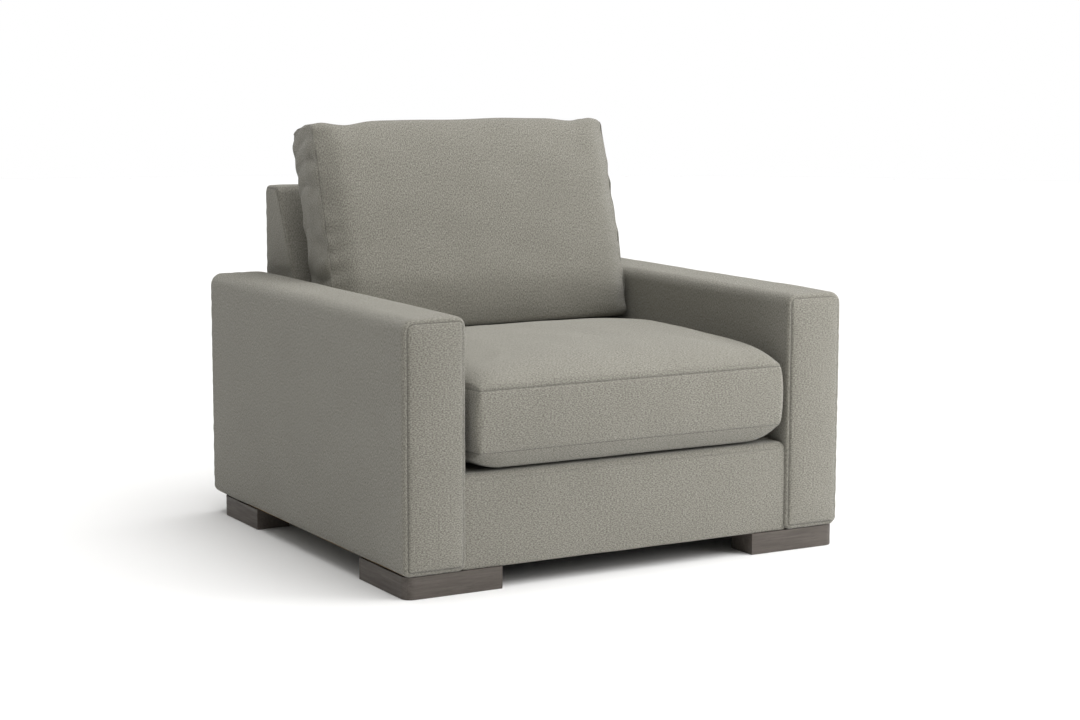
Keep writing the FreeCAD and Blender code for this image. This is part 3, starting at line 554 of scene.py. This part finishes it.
def wood(name, colour, dark, light, corner=None):
    """Wood with its grain along x. Where a corner is given, the grain turns there as on a mitred
    foot."""
    g = Graph(name)
    where = g.place()
    grain_place = g.stretch(where, (GRAIN_SQUASH, 1.0, 1.0))
    if corner is not None:
        second = g.stretch(where, (1.0, GRAIN_SQUASH, 1.0))
        axes = g.node("ShaderNodeSeparateXYZ")
        g.link(where, axes.inputs[0])
        dx = g.math("ABSOLUTE", g.math("SUBTRACT", axes.outputs[0], corner[0]))
        dy = g.math("ABSOLUTE", g.math("SUBTRACT", axes.outputs[1], corner[1]))
        turn = g.math("GREATER_THAN", dy, dx)
        pick = g.node("ShaderNodeMix", data_type="VECTOR")
        g.link(turn, pick.inputs["Factor"])
        g.link(grain_place, pick.inputs["A"])
        g.link(second, pick.inputs["B"])
        grain_place = pick.outputs["Result"]
    lines = g.noise(grain_place, 190.0, 6.0, 0.62)
    bands = g.noise(grain_place, 42.0, 3.0)
    pores = g.noise(grain_place, 700.0, 2.0)
    tone = g.mix(g.ramp(lines, 0.36, 0.66), linear(*dark), linear(*light))
    tone = g.mix(0.45, linear(*colour), tone)
    tone = g.mix(g.ramp(bands, 0.35, 0.7, 0.0, 0.35), tone, linear(*dark))
    deep = linear(*[c * 0.6 for c in dark])
    tone = g.mix(g.ramp(pores, 0.30, 0.42, 0.35, 0.0), tone, deep)
    g.link(tone, g.shader.inputs["Base Color"])
    rough = g.ramp(lines, 0.3, 0.7, WOOD_ROUGH + 0.08, WOOD_ROUGH - 0.08)
    g.link(rough, g.shader.inputs["Roughness"])
    g.shader.inputs["Specular IOR Level"].default_value = 0.35
    g.bump(g.math("ADD", lines, g.math("MULTIPLY", pores, 0.4)), 0.0006, 0.6)
    return g.material


def metal(name, colour, rough):
    """Steel or brass, a little brushed and grimy."""
    g = Graph(name)
    where = g.place()
    grime = g.noise(where, 60.0, 4.0)
    fine = g.noise(g.stretch(where, (1.0, 1.0, 0.1)), 400.0, 2.0)
    dull = linear(*[c * 0.55 for c in colour])
    tone = g.mix(g.ramp(grime, 0.35, 0.75, 0.0, 0.45), linear(*colour), dull)
    g.link(tone, g.shader.inputs["Base Color"])
    g.link(g.ramp(grime, 0.3, 0.7, rough - 0.08, rough + 0.12), g.shader.inputs["Roughness"])
    g.shader.inputs["Metallic"].default_value = 1.0
    g.bump(fine, 0.0001, 0.5)
    return g.material


def soft_filling(name, colour, scale, depth):
    """Felt or board: an uneven matt surface."""
    g = Graph(name)
    where = g.place()
    cells = g.noise(where, scale, 5.0, 0.7)
    broad = g.noise(where, 9.0, 2.0)
    low, deep = (linear(*[c * part for c in colour]) for part in (0.82, 0.75))
    tone = g.mix(g.ramp(cells, 0.3, 0.7), low, linear(*colour))
    tone = g.mix(g.ramp(broad, 0.3, 0.75, 0.0, 0.25), tone, deep)
    g.link(tone, g.shader.inputs["Base Color"])
    g.link(g.ramp(cells, 0.3, 0.7, 0.98, 0.86), g.shader.inputs["Roughness"])
    g.shader.inputs["Specular IOR Level"].default_value = 0.15
    g.bump(cells, depth, 0.8)
    return g.material


COVER = woven("cover_cloth", (131, 128, 118), (101, 98, 89), (160, 158, 148), 0.0019)
DECK = woven("deck_cloth", (152, 148, 138), (138, 134, 124), (168, 165, 155), 0.0012, sheen=0.1)
DUST = woven("dust_cloth", (44, 43, 42), (30, 29, 28), (58, 57, 55), 0.0014, sheen=0.05)
TAPE = woven("zip_tape", (104, 101, 92), (86, 83, 75), (118, 115, 105), 0.0009,
             threads=(0, 2), sheen=0.1, seams=False)
WEBBING = woven("webbing", (150, 132, 104), (118, 102, 78), (176, 158, 128), 0.0016,
                threads=(0, 2), seams=False)
FELT = soft_filling("felt", (96, 93, 88), 500.0, 0.0008)
BOARD = soft_filling("fibreboard", (166, 140, 104), 380.0, 0.0003)
FRAME_WOOD = wood("frame_wood", (196, 160, 114), (164, 126, 82), (216, 184, 140))
SPRING = metal("spring_steel", (120, 122, 126), 0.42)
SCREW = metal("screw_steel", (168, 168, 164), 0.34)
BRASS = metal("zip_metal", (146, 128, 92), 0.36)


# ---------------------------------------------------------------- arms

ARM_COVERS = ("front_cover", "top_cover", "inside_cover", "outside_cover", "padding")


def span(names):
    """The box round several nodes."""
    boxes = [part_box(name) for name in names]
    lo = Vector([min(b[0][k] for b in boxes) for k in range(3)])
    hi = Vector([max(b[1][k] for b in boxes) for k in range(3)])
    return lo, hi


def arm(side):
    lo, hi = span(["right_arm_" + part for part in ARM_COVERS])
    x0, x1, y0, y1, z0, z1 = lo.x, hi.x, lo.y, hi.y, lo.z, hi.z
    seed = 11 + SIDES.index(side)
    front_round, rear_round = 0.010, 0.006
    outside_puff, inside_puff, top_puff, end_puff = 0.0030, 0.0006, 0.0025, 0.0080
    corners = [(x0, z0), (x1, z0), (x1, z1), (x0, z1)]
    radii = [0.018, 0.018, 0.027, 0.022]
    shell = Shell(corners, radii, edge_rings(y0, y1, front_round, rear_round),
                  reach=lambda n: 1 - 0.15 * np.clip(-n[:, 0], 0, 1))
    x, z, y = shell.co.T
    tube, ends = shell.kind == 0, shell.kind > 0
    along = np.clip((y - y0) / (y1 - y0), 0, 1) * 2 - 1
    upward = np.clip((z - z0) / (z1 - z0), 0, 1) * 2 - 1
    across = np.clip((x - x0) / (x1 - x0), 0, 1) * 2 - 1
    outer, inner, top = shell.nor[:, 0] > 0.5, shell.nor[:, 0] < -0.5, shell.nor[:, 1] > 0.5
    flank = rise(along, 6, 0.8)
    amount = np.zeros(len(x))
    amount += np.where(tube & outer, outside_puff * flank * rise(upward, 5, 0.8), 0)
    amount += np.where(tube & inner, inside_puff * flank * rise(upward, 5, 0.8), 0)
    amount += np.where(tube & top, top_puff * rise(along, 8, 0.7) * rise(across, 3, 0.8), 0)
    wide, tall = rise(2 * shell.s - 1, 2.2, 0.8), rise(2 * shell.t - 1, 8, 0.7)
    amount += np.where(ends, end_puff * wide * tall, 0)
    wave = ripple(shell.co, 0.20, seed)
    calm = np.clip(shell.edge / 0.05, 0.0, 1.0)
    amount += wave * np.where(inner, 0.0003, 0.0007) * calm
    amount += puckers(shell, seed) * np.where(inner, 0.0002, 0.0006)
    shell.push(amount)
    shell.crease(shell.edge)
    sign = 1.0 if side == "right" else -1.0
    names = ["%s_arm_%s" % (side, part) for part in ARM_COVERS]
    return add_piece(side + "_arm_upholstery", shell,
                     lambda co: np.stack([sign * co[:, 0], co[:, 2], co[:, 1]], 1),
                     COVER, "chair", names)


for side in SIDES:
    arm(side)


# ---------------------------------------------------------------- front rail

def front_rail():
    lo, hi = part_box("front_rail_cover")
    past_arm, front_round, rear_round, front_puff = 0.006, 0.014, 0.004, 0.0035
    half = hi.x + past_arm
    corners = [(-half, lo.z), (half, lo.z), (half, hi.z), (-half, hi.z)]
    radii = [0.003, 0.003, 0.016, 0.016]
    shell = Shell(corners, radii, edge_rings(lo.y, hi.y, front_round, rear_round),
                  reach=lambda n: 0.08 + 0.92 * np.clip(n[:, 1], 0, 1))
    front = shell.kind == 1
    wide, tall = rise(2 * shell.s - 1, 8, 0.7), rise(2 * shell.t - 1, 4, 0.8)
    amount = np.where(front, front_puff * wide * tall, 0)
    amount += ripple(shell.co, 0.18, 31) * 0.0006
    amount[shell.nor[:, 1] > 0.7] = 0.0
    shell.push(amount)
    return add_piece("front_rail_upholstery", shell,
                     lambda co: np.stack([co[:, 0], co[:, 2], co[:, 1]], 1),
                     COVER, "chair",
                     ("front_rail_cover", "front_rail_padding"))


front_rail()


# ---------------------------------------------------------------- back frame

def back_frame():
    lo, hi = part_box("back_border_cover")
    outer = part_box("back_outside_cover")[1]
    face_lo, face_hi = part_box("back_inside_cover")
    side_round, rear_puff, ear_puff, ear_foot = 0.007, 0.0040, 0.0022, 0.60
    half, z0, z1, rear = hi.x - 0.001, lo.z, hi.z, outer.y
    slope = (face_hi.y - face_lo.y) / (face_hi.z - face_lo.z)
    foot_y, foot_z = face_lo.y, face_lo.z
    head_y = foot_y + slope * (z1 - foot_z)
    corners = [(foot_y, z0), (rear, z0), (rear, z1), (head_y, z1), (foot_y, foot_z)]
    radii = [0.009, 0.009, 0.020, 0.024, 0.010]
    shell = Shell(corners, radii, edge_rings(-half, half, side_round, side_round))
    _, z, x = shell.co.T
    tube = shell.kind == 0
    facing = -shell.nor[:, 0] > 0.5
    behind = shell.nor[:, 0] > 0.7
    a = x / half
    upward = np.clip((z - z0) / (z1 - z0), 0, 1) * 2 - 1
    amount = np.where(tube & behind, rear_puff * rise(a, 6, 0.8) * rise(upward, 6, 0.8), 0)
    amount += np.where(tube & facing & (z > foot_z), -0.0010, 0)
    ear = (shell.kind > 0) & (z > ear_foot)
    amount += np.where(ear, ear_puff * rise(2 * shell.s - 1, 3, 0.7), 0)
    calm = np.clip(shell.edge / 0.04, 0.0, 1.0)
    amount += ripple(shell.co, 0.20, 41) * np.where(facing, 0.0003, 0.0008) * calm
    amount += puckers(shell, 43) * 0.0006
    shell.push(amount)
    shell.crease(shell.edge)
    return add_piece("back_upholstery", shell,
                     lambda co: np.stack([co[:, 2], co[:, 0], co[:, 1]], 1),
                     COVER, "chair",
                     ("back_border_cover", "back_inside_cover",
                      "back_outside_cover", "back_padding"))


back_frame()


# ---------------------------------------------------------------- seat cushion

def seat_shell(fine, coarse):
    lo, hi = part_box("seat_cushion_cover")
    side_puff, front_puff, rear_puff = 0.007, 0.005, 0.009
    low_panel, high_panel = 0.0434, 0.073   # how far the two panels bulge past their seams
    taper, taper_length = 0.014, 0.11       # how much narrower the front is
    half, y0, y1 = hi.x - side_puff, lo.y + front_puff, hi.y - rear_puff
    narrow, widest = half - taper, y0 + taper_length
    corners = [(-narrow, y0), (narrow, y0), (half, widest),
               (half, y1), (-half, y1), (-half, widest)]
    low_seam, high_seam = lo.z + low_panel, hi.z - high_panel
    run = high_seam - low_seam
    rings = [(low_seam + f * run, 0.0) for f in graded(run, fine, coarse)]
    shell = Shell(corners, [0.007, 0.007, 0.20, 0.012, 0.012, 0.20], rings, quad=(0, 1, 3, 4),
                  fine=fine, coarse=coarse)
    z = shell.co[:, 2]
    tube, bottom, top = shell.kind == 0, shell.kind == 1, shell.kind == 2
    level = np.clip((z - low_seam) / run, 0, 1) * 2 - 1
    puff = np.where(shell.nor[:, 1] > 0.7, rear_puff, side_puff)
    puff = np.where(shell.nor[:, 1] < -0.7, front_puff, puff)
    shell.push(np.where(tube, puff * rise(level, 2.2, 0.9), 0))
    length = y1 - y0
    a, d = 2 * shell.s - 1, shell.t * length
    from_side, from_rear = half * (1 - np.abs(a)), length - d
    peak, pressed = 0.40, 0.27
    crown = rise(a, 3.4, 1.0) * np.where(d < peak, rise(1 - d / peak, 2.0, 0.8),
                                         1 - 0.95 * smooth((d - peak) / pressed))
    roll = shoulder(from_side, 0.060) * shoulder(d, 0.085) * shoulder(from_rear, 0.090)
    height = (hi.z - high_seam) * (0.54 * roll + 0.46 * crown * shoulder(from_rear, 0.090))
    depth = (low_seam - lo.z) * shoulder(from_side, 0.080) * np.maximum(bevel(d, 0.024, 0.5), 0)
    depth *= shoulder(from_rear, 0.045)
    shell.co[:, 2] += np.where(top, height, 0) - np.where(bottom, depth, 0)
    return shell


def seat_cushion():
    lo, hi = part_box("seat_cushion_cover")
    shell = seat_shell(*CUSHION_MESH)
    middle = lo.z + 0.1
    coarse = seat_shell(*CLOTH_MESH)
    coarse.fixed |= coarse.kind == 1
    inflate(shell, coarse, np.full(len(coarse.co), 0.15), 2.0, 0.003, 55)
    amount = ripple(shell.co, 0.12, 51) * 0.0007
    amount += puckers(shell, 53, reach=0.020) * 0.0003
    amount[shell.kind == 1] *= 0.25
    lift = np.where(shell.kind == 2, 1.0, np.where(shell.kind == 1, -1.0, 0.0))
    flat = shell.kind > 0
    shell.co[:, 2] += np.where(flat, amount * lift, 0)
    shell.push(np.where(flat, 0, amount * np.clip(shell.edge / 0.02, 0, 1)))
    dip = np.exp(-(shell.edge / 0.0022) ** 2) * np.where(shell.co[:, 2] > middle, 1.0, 1.1)
    # the seam mark paints shade into the cloth's colour along the seams
    shell.seam = dip
    shell.push(-SEAM_DEPTH * dip * (shell.kind == 0))
    shell.co[:, 2] = np.maximum(shell.co[:, 2], lo.z)
    shell.co[:, 0] = within(shell.co[:, 0], ARM_ROOM)
    shell.co[:, 1] = np.minimum(shell.co[:, 1], hi.y)
    return add_piece("seat_cushion_upholstery", shell, lambda co: co,
                     COVER, "seat_cushion",
                     ("seat_cushion_cover", "seat_cushion_wrap", "seat_cushion_foam"))


seat_cushion()


# ---------------------------------------------------------------- back cushion

LEAN = math.radians(16.9)
BACK_FOOT = (0.147, 0.482)
GUSSET = 0.125
BACK_LENGTH = 0.4905
FOLD_PITCH, FOLD_LEFT, FOLD_RIGHT = 0.074, 0.0075, 0.0022


def back_place(co):
    """From (depth, height along the cushion, x) to world."""
    d, s, x = co.T
    y = BACK_FOOT[0] + s * math.sin(LEAN) + d * math.cos(LEAN)
    z = BACK_FOOT[1] + s * math.cos(LEAN) - d * math.sin(LEAN)
    return np.stack([x, y, z], 1)


def back_shell(fine, coarse):
    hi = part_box("back_cushion_cover")[1]
    side_room, front_puff, rear_puff = 0.005, 0.043, 0.050
    half = hi.x - side_room
    corners = [(0.0, 0.0), (GUSSET, 0.0), (GUSSET, BACK_LENGTH), (0.0, BACK_LENGTH)]
    rings = [(-half + f * 2 * half, 0.0) for f in graded(2 * half, fine, coarse)]
    radii = [0.010, 0.022, 0.060, 0.022]
    shell = Shell(corners, radii, rings, fine=fine, coarse=coarse)
    d, s, x = shell.co.T.copy()
    tube = shell.kind == 0
    a = np.clip(x / half, -1, 1)
    up = np.clip(s / BACK_LENGTH, 0, 1)
    forward = np.clip(1 - d / GUSSET, 0, 1)
    shell.co[:, 0] -= 0.014 * smooth((s - 0.01) / 0.10) * forward
    shell.co[:, 0] -= 0.010 * np.sin(math.pi * up) * (1 - forward)
    shell.co[:, 1] -= 0.011 * smooth(1 - s / 0.15) * smooth((0.078 - d) / 0.05)
    shell.co[:, 1] += 0.20 * d * smooth((s - 0.28) / 0.20)
    from_side = half * (1 - np.abs(a))
    swell = bevel(from_side, 0.038) * (0.90 + 0.10 * rise(a, 2.0, 1.0))
    front = np.clip(-shell.nor[:, 0], 0, 1) ** 0.5
    back = np.clip(shell.nor[:, 0], 0, 1) ** 0.5
    belly = np.where(up < 0.5, rise(2 * up - 1, 6, 0.5), rise(2 * up - 1, 2.6, 0.5))
    amount = front * front_puff * swell * belly
    amount += back * rear_puff * swell * rise(2 * up - 1, 2.2, 0.7)
    ear = 0.002 * np.exp(-((np.abs(a) - 0.93) / 0.04) ** 2)
    ear -= 0.009 * np.exp(-((np.abs(a) - 0.78) / 0.12) ** 2)
    ear -= 0.005 * (1 - shoulder(from_side, 0.028)) + 0.004
    shell.co[:, 1] += ear * smooth((s - BACK_LENGTH) / 0.09 + 1)
    shell.push(np.where(tube, amount, 0))
    shell.co[:, 2] *= 1 - 0.014 * (1 - forward)
    side = rise(2 * shell.s - 1, 2.4, 0.6) * rise(2 * shell.t - 1, 6, 0.6)
    shell.push(np.where(shell.kind > 0, 0.009 * side, 0))
    return shell


def back_cushion():
    shell = back_shell(*CUSHION_MESH)
    coarse = back_shell(*CLOTH_MESH)
    cap = coarse.kind > 0
    inflate(shell, coarse, np.where(cap, 0.7, 0.0), 1.5, np.where(cap, 0.005, 0.0008), 65)
    d, s, _ = shell.co.T
    tube, side = shell.kind == 0, shell.kind - 1.5
    foot = np.clip(-shell.nor[:, 1], 0, 1)
    amount = ripple(shell.co, 0.13, 61) * 0.0008
    amount += puckers(shell, 63, reach=0.030, wavelength=0.055) * 0.0018
    turn = s / FOLD_PITCH + 0.40 * np.sin(s * 17 + 2 * side)
    turn = turn + 0.25 * np.sin(d * 30 + s * 9) + 0.3 * side
    billow = np.abs(np.sin(math.pi * turn)) ** 0.6 - 0.62
    depth = np.where(side > 0, FOLD_RIGHT, FOLD_LEFT) * smooth((BACK_LENGTH - s) / 0.07)
    folds = billow * depth + ripple(shell.co, 0.05, 67) * 0.0012 - 0.001
    amount += np.where(tube, 0, folds * np.clip(shell.edge / 0.016, 0, 1))
    shell.push(amount * (1 - foot))
    seam = np.exp(-shell.edge / 0.020) * (1 - foot)
    shell.co[:, 0] += 0.0028 * np.sin(math.pi * 2 * turn + 0.7) * seam
    shell.co[:, 2] = within(shell.co[:, 2], ARM_ROOM + 0.008 * smooth((s - 0.13) / 0.08))
    shell.crease(shell.edge, 0.0013)
    return add_piece("back_cushion_upholstery", shell, back_place,
                     COVER, "back_cushion",
                     ("back_cushion_cover", "back_cushion_fill"))


back_cushion()


# ---------------------------------------------------------------- stretched sheets

CLOTH_THICKNESS = 0.0008


def sheet(node, material, sag, seam_at):
    """A thin cloth stretched over the frame and stapled along its edges."""
    lo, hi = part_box(node)
    corners = [(lo.x, lo.y), (hi.x, lo.y), (hi.x, hi.y), (lo.x, hi.y)]
    rings = [(0.0, 0.0), (CLOTH_THICKNESS / 2, 0.0), (CLOTH_THICKNESS, 0.0)]
    shell = Shell(corners, [0.004] * 4, rings, fine=0.006, coarse=0.018)
    x, y = shell.co.T[:2].copy()
    a = np.abs(x - (lo.x + hi.x) / 2) / ((hi.x - lo.x) / 2)
    b = np.abs(y - (lo.y + hi.y) / 2) / ((hi.y - lo.y) / 2)
    loose = smooth((0.62 - a) / 0.5) * smooth((0.62 - b) / 0.5)
    shell.co[:, 2] += lo.z + 0.0006 - sag * loose
    wave = ripple(shell.co * np.array([1, 1, 0]), 0.16, 71)
    shell.co[:, 2] += wave * 0.0002 * smooth(shell.edge / 0.05)
    if seam_at is not None:
        # the deck's seam gets painted shade in its colour and a small dip
        shell.seam = np.exp(-((y - seam_at) / 0.0024) ** 2)
        shell.co[:, 2] -= 0.0005 * shell.seam
    piece = add_piece(node + "_sheet", shell, lambda co: co, material, "chair", (node,))


deck_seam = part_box("deck_cloth")[0].y + 0.11
sheet("deck_cloth", DECK, 0.0, deck_seam)
sheet("dust_cover", DUST, 0.004, None)


# ---------------------------------------------------------------- zip teeth

TOOTH_PITCH, TOOTH_REACH, TOOTH_WIDTH, TOOTH_RISE = 0.0022, 0.0012, 0.0032, 0.0012
TAPE_THICKNESS, TOOTH_BASE = 0.0010, 0.00125
ZIP_END = 0.015                         # bare tape at each end
ZIP_TILT = math.radians(18)             # of the tape under the back cushion


def zip_teeth(node, body, outward):
    """Two rows of small interlocked teeth along the ridge in the middle of a zip tape."""
    lo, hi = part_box(node)
    outward = Vector(outward).normalized()
    across = outward.cross(Vector((1, 0, 0)))
    middle = (lo + hi) / 2
    if abs(outward.z) > 0.5:
        middle += outward * (TAPE_THICKNESS / 2 + TOOTH_BASE)
    else:
        middle.y = lo.y + TAPE_THICKNESS + TOOTH_BASE
    build = bmesh.new()
    count = int((hi.x - lo.x - 2 * ZIP_END) / TOOTH_PITCH)
    for k in range(count):
        x = lo.x + ZIP_END + k * TOOTH_PITCH
        shift = TOOTH_REACH * (1 if k % 2 else -1)
        for vert in bmesh.ops.create_cube(build, size=1.0)["verts"]:
            a, b, c = vert.co
            taper = 0.72 if c > 0 else 1.0
            place = middle + across * (shift + b * TOOTH_WIDTH * taper)
            place += outward * ((c + 0.5) * TOOTH_RISE)
            vert.co = Vector((x + a * TOOTH_PITCH * 0.8 * taper, place.y, place.z))
    bmesh.ops.bevel(build, geom=build.edges[:], offset=0.0002, segments=1, affect="EDGES")
    mesh = bpy.data.meshes.new(node + "_teeth")
    build.to_mesh(mesh)
    build.free()
    mesh.materials.append(BRASS)
    teeth = bpy.data.objects.new(node.replace("tape", "teeth"), mesh)
    bpy.context.scene.collection.objects.link(teeth)
    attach(teeth, body)


zip_teeth("seat_zip_tape", "seat_cushion", (0, 1, 0))
zip_teeth("back_zip_tape", "back_cushion", (0, -math.sin(ZIP_TILT), -math.cos(ZIP_TILT)))


# ---------------------------------------------------------------- carried-over parts

def foot_material(node):
    """Wood for a foot, with the grain turned at its outer corner."""
    lo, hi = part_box(node)
    x = lo.x if lo.x < 0 else hi.x
    y = lo.y if lo.y < 0 else hi.y
    return wood(node + "_wood", (84, 78, 73), (67, 61, 56), (98, 92, 86), corner=(x, y))


def dress(node, material):
    for slot in nodes[node].material_slots:
        slot.material = material


PLAIN = {
    "front_rail": FRAME_WOOD, "spring_rail": FRAME_WOOD, "rear_rail": FRAME_WOOD,
    "back_top_rail": FRAME_WOOD, "back_low_rail": FRAME_WOOD, "corner_blocks": FRAME_WOOD,
    "arm_struts": FRAME_WOOD, "outside_back_liner": BOARD, "back_webbing": WEBBING,
    "seat_springs": SPRING, "spring_clips": SPRING, "foot_screws": SCREW, "foot_glides": FELT,
    "deck_pad": FELT, "seat_zip_tape": TAPE, "back_zip_tape": TAPE,
    "seat_zip_slider": BRASS, "back_zip_slider": BRASS,
}
for node, material in PLAIN.items():
    dress(node, material)
for side in SIDES:
    for part in ("front_post", "rear_post", "arm_top_board", "arm_rails", "back_side"):
        dress(side + "_" + part, FRAME_WOOD)
    dress(side + "_arm_liner", BOARD)
    for part in ("front_foot", "rear_foot"):
        dress(side + "_" + part, foot_material(side + "_" + part))


# ---------------------------------------------------------------- stage, light, camera

FLOOR_RADIUS, FLOOR_SIDES = 14.0, 96
AMBIENT, AMBIENT_LOW, AMBIENT_HIGH = (1.0, 0.985, 0.955, 1.0), 0.12, 0.75
KEY_TOWARD, KEY_POWER, KEY_SOFTNESS = (0.26, -0.21, 0.94), 3.4, 75.0
SIDE_PLACE, SIDE_AIM, SIDE_SIZE, SIDE_POWER = (1.7, -1.9, 1.1), (0.4, -0.3, 0.3), 1.2, 33.0
CAMERA_PLACE = (-2.5403, -4.5635, 1.1382)
CAMERA_TURN, CAMERA_TILT, CAMERA_ROLL = 29.7075, 8.0459, 0.118      # degrees
CAMERA_LENS, CAMERA_FILM = 75.09, 36.0                              # millimetres


def floor():
    mesh = bpy.data.meshes.new("floor")
    angles = [2 * math.pi * k / FLOOR_SIDES for k in range(FLOOR_SIDES)]
    ring = [(FLOOR_RADIUS * math.cos(angle), FLOOR_RADIUS * math.sin(angle), 0.0)
            for angle in angles]
    mesh.from_pydata(ring, [], [list(range(FLOOR_SIDES))])
    g = Graph("floor_paint")
    tone = g.mix(g.noise(g.place(), 1.5, 3.0), (0.73, 0.73, 0.73, 1), (0.75, 0.75, 0.75, 1))
    g.link(tone, g.shader.inputs["Base Color"])
    g.shader.inputs["Roughness"].default_value = 0.9
    g.shader.inputs["Specular IOR Level"].default_value = 0.1
    mesh.materials.append(g.material)
    obj = bpy.data.objects.new("floor", mesh)
    bpy.context.scene.collection.objects.link(obj)


def lamp(name, place, aim, size, power):
    data = bpy.data.lights.new(name, "AREA")
    data.shape, data.size, data.size_y, data.energy = "RECTANGLE", size, size, power
    obj = bpy.data.objects.new(name, data)
    obj.location = place
    obj.rotation_euler = (Vector(aim) - Vector(place)).to_track_quat("-Z", "Y").to_euler()
    bpy.context.scene.collection.objects.link(obj)


def camera():
    data = bpy.data.cameras.new("camera")
    data.lens, data.sensor_width = CAMERA_LENS, CAMERA_FILM
    turn, tilt, roll = (math.radians(a) for a in (CAMERA_TURN, CAMERA_TILT, CAMERA_ROLL))
    forward = Vector((math.sin(turn) * math.cos(tilt), math.cos(turn) * math.cos(tilt),
                      -math.sin(tilt)))
    level = Vector((math.cos(turn), -math.sin(turn), 0.0))
    upright = level.cross(forward)
    side = level * math.cos(roll) + upright * math.sin(roll)
    up = upright * math.cos(roll) - level * math.sin(roll)
    obj = bpy.data.objects.new("camera", data)
    obj.matrix_world = Matrix.Translation(CAMERA_PLACE) @ Matrix(
        (side, up, -forward)).transposed().to_4x4()
    bpy.context.scene.collection.objects.link(obj)
    bpy.context.scene.camera = obj


def studio():
    """A dim even light from all round, in front of a white backdrop."""
    world = bpy.data.worlds.new("studio")
    world.use_nodes = True
    tree = world.node_tree
    ambient = tree.nodes["Background"]
    ambient.inputs["Color"].default_value = AMBIENT
    where = tree.nodes.new("ShaderNodeTexCoord")
    axes = tree.nodes.new("ShaderNodeSeparateXYZ")
    height = tree.nodes.new("ShaderNodeMapRange")
    height.inputs["To Min"].default_value = AMBIENT_LOW
    height.inputs["To Max"].default_value = AMBIENT_HIGH
    tree.links.new(where.outputs["Generated"], axes.inputs[0])
    tree.links.new(axes.outputs["Z"], height.inputs["Value"])
    tree.links.new(height.outputs["Result"], ambient.inputs["Strength"])
    backdrop = tree.nodes.new("ShaderNodeBackground")
    backdrop.inputs["Color"].default_value = (1.0, 1.0, 1.0, 1.0)
    path = tree.nodes.new("ShaderNodeLightPath")
    blend = tree.nodes.new("ShaderNodeMixShader")
    tree.links.new(path.outputs["Is Camera Ray"], blend.inputs[0])
    tree.links.new(ambient.outputs[0], blend.inputs[1])
    tree.links.new(backdrop.outputs[0], blend.inputs[2])
    tree.links.new(blend.outputs[0], tree.nodes["World Output"].inputs["Surface"])
    bpy.context.scene.world = world


def sun(name, toward, power, softness):
    data = bpy.data.lights.new(name, "SUN")
    data.energy, data.angle = power, math.radians(softness)
    obj = bpy.data.objects.new(name, data)
    obj.rotation_euler = Vector(toward).to_track_quat("Z", "Y").to_euler()
    bpy.context.scene.collection.objects.link(obj)


floor()
studio()
sun("key", KEY_TOWARD, KEY_POWER, KEY_SOFTNESS)
lamp("side", SIDE_PLACE, SIDE_AIM, SIDE_SIZE, SIDE_POWER)
bpy.context.scene.view_settings.view_transform = "Standard"
camera()
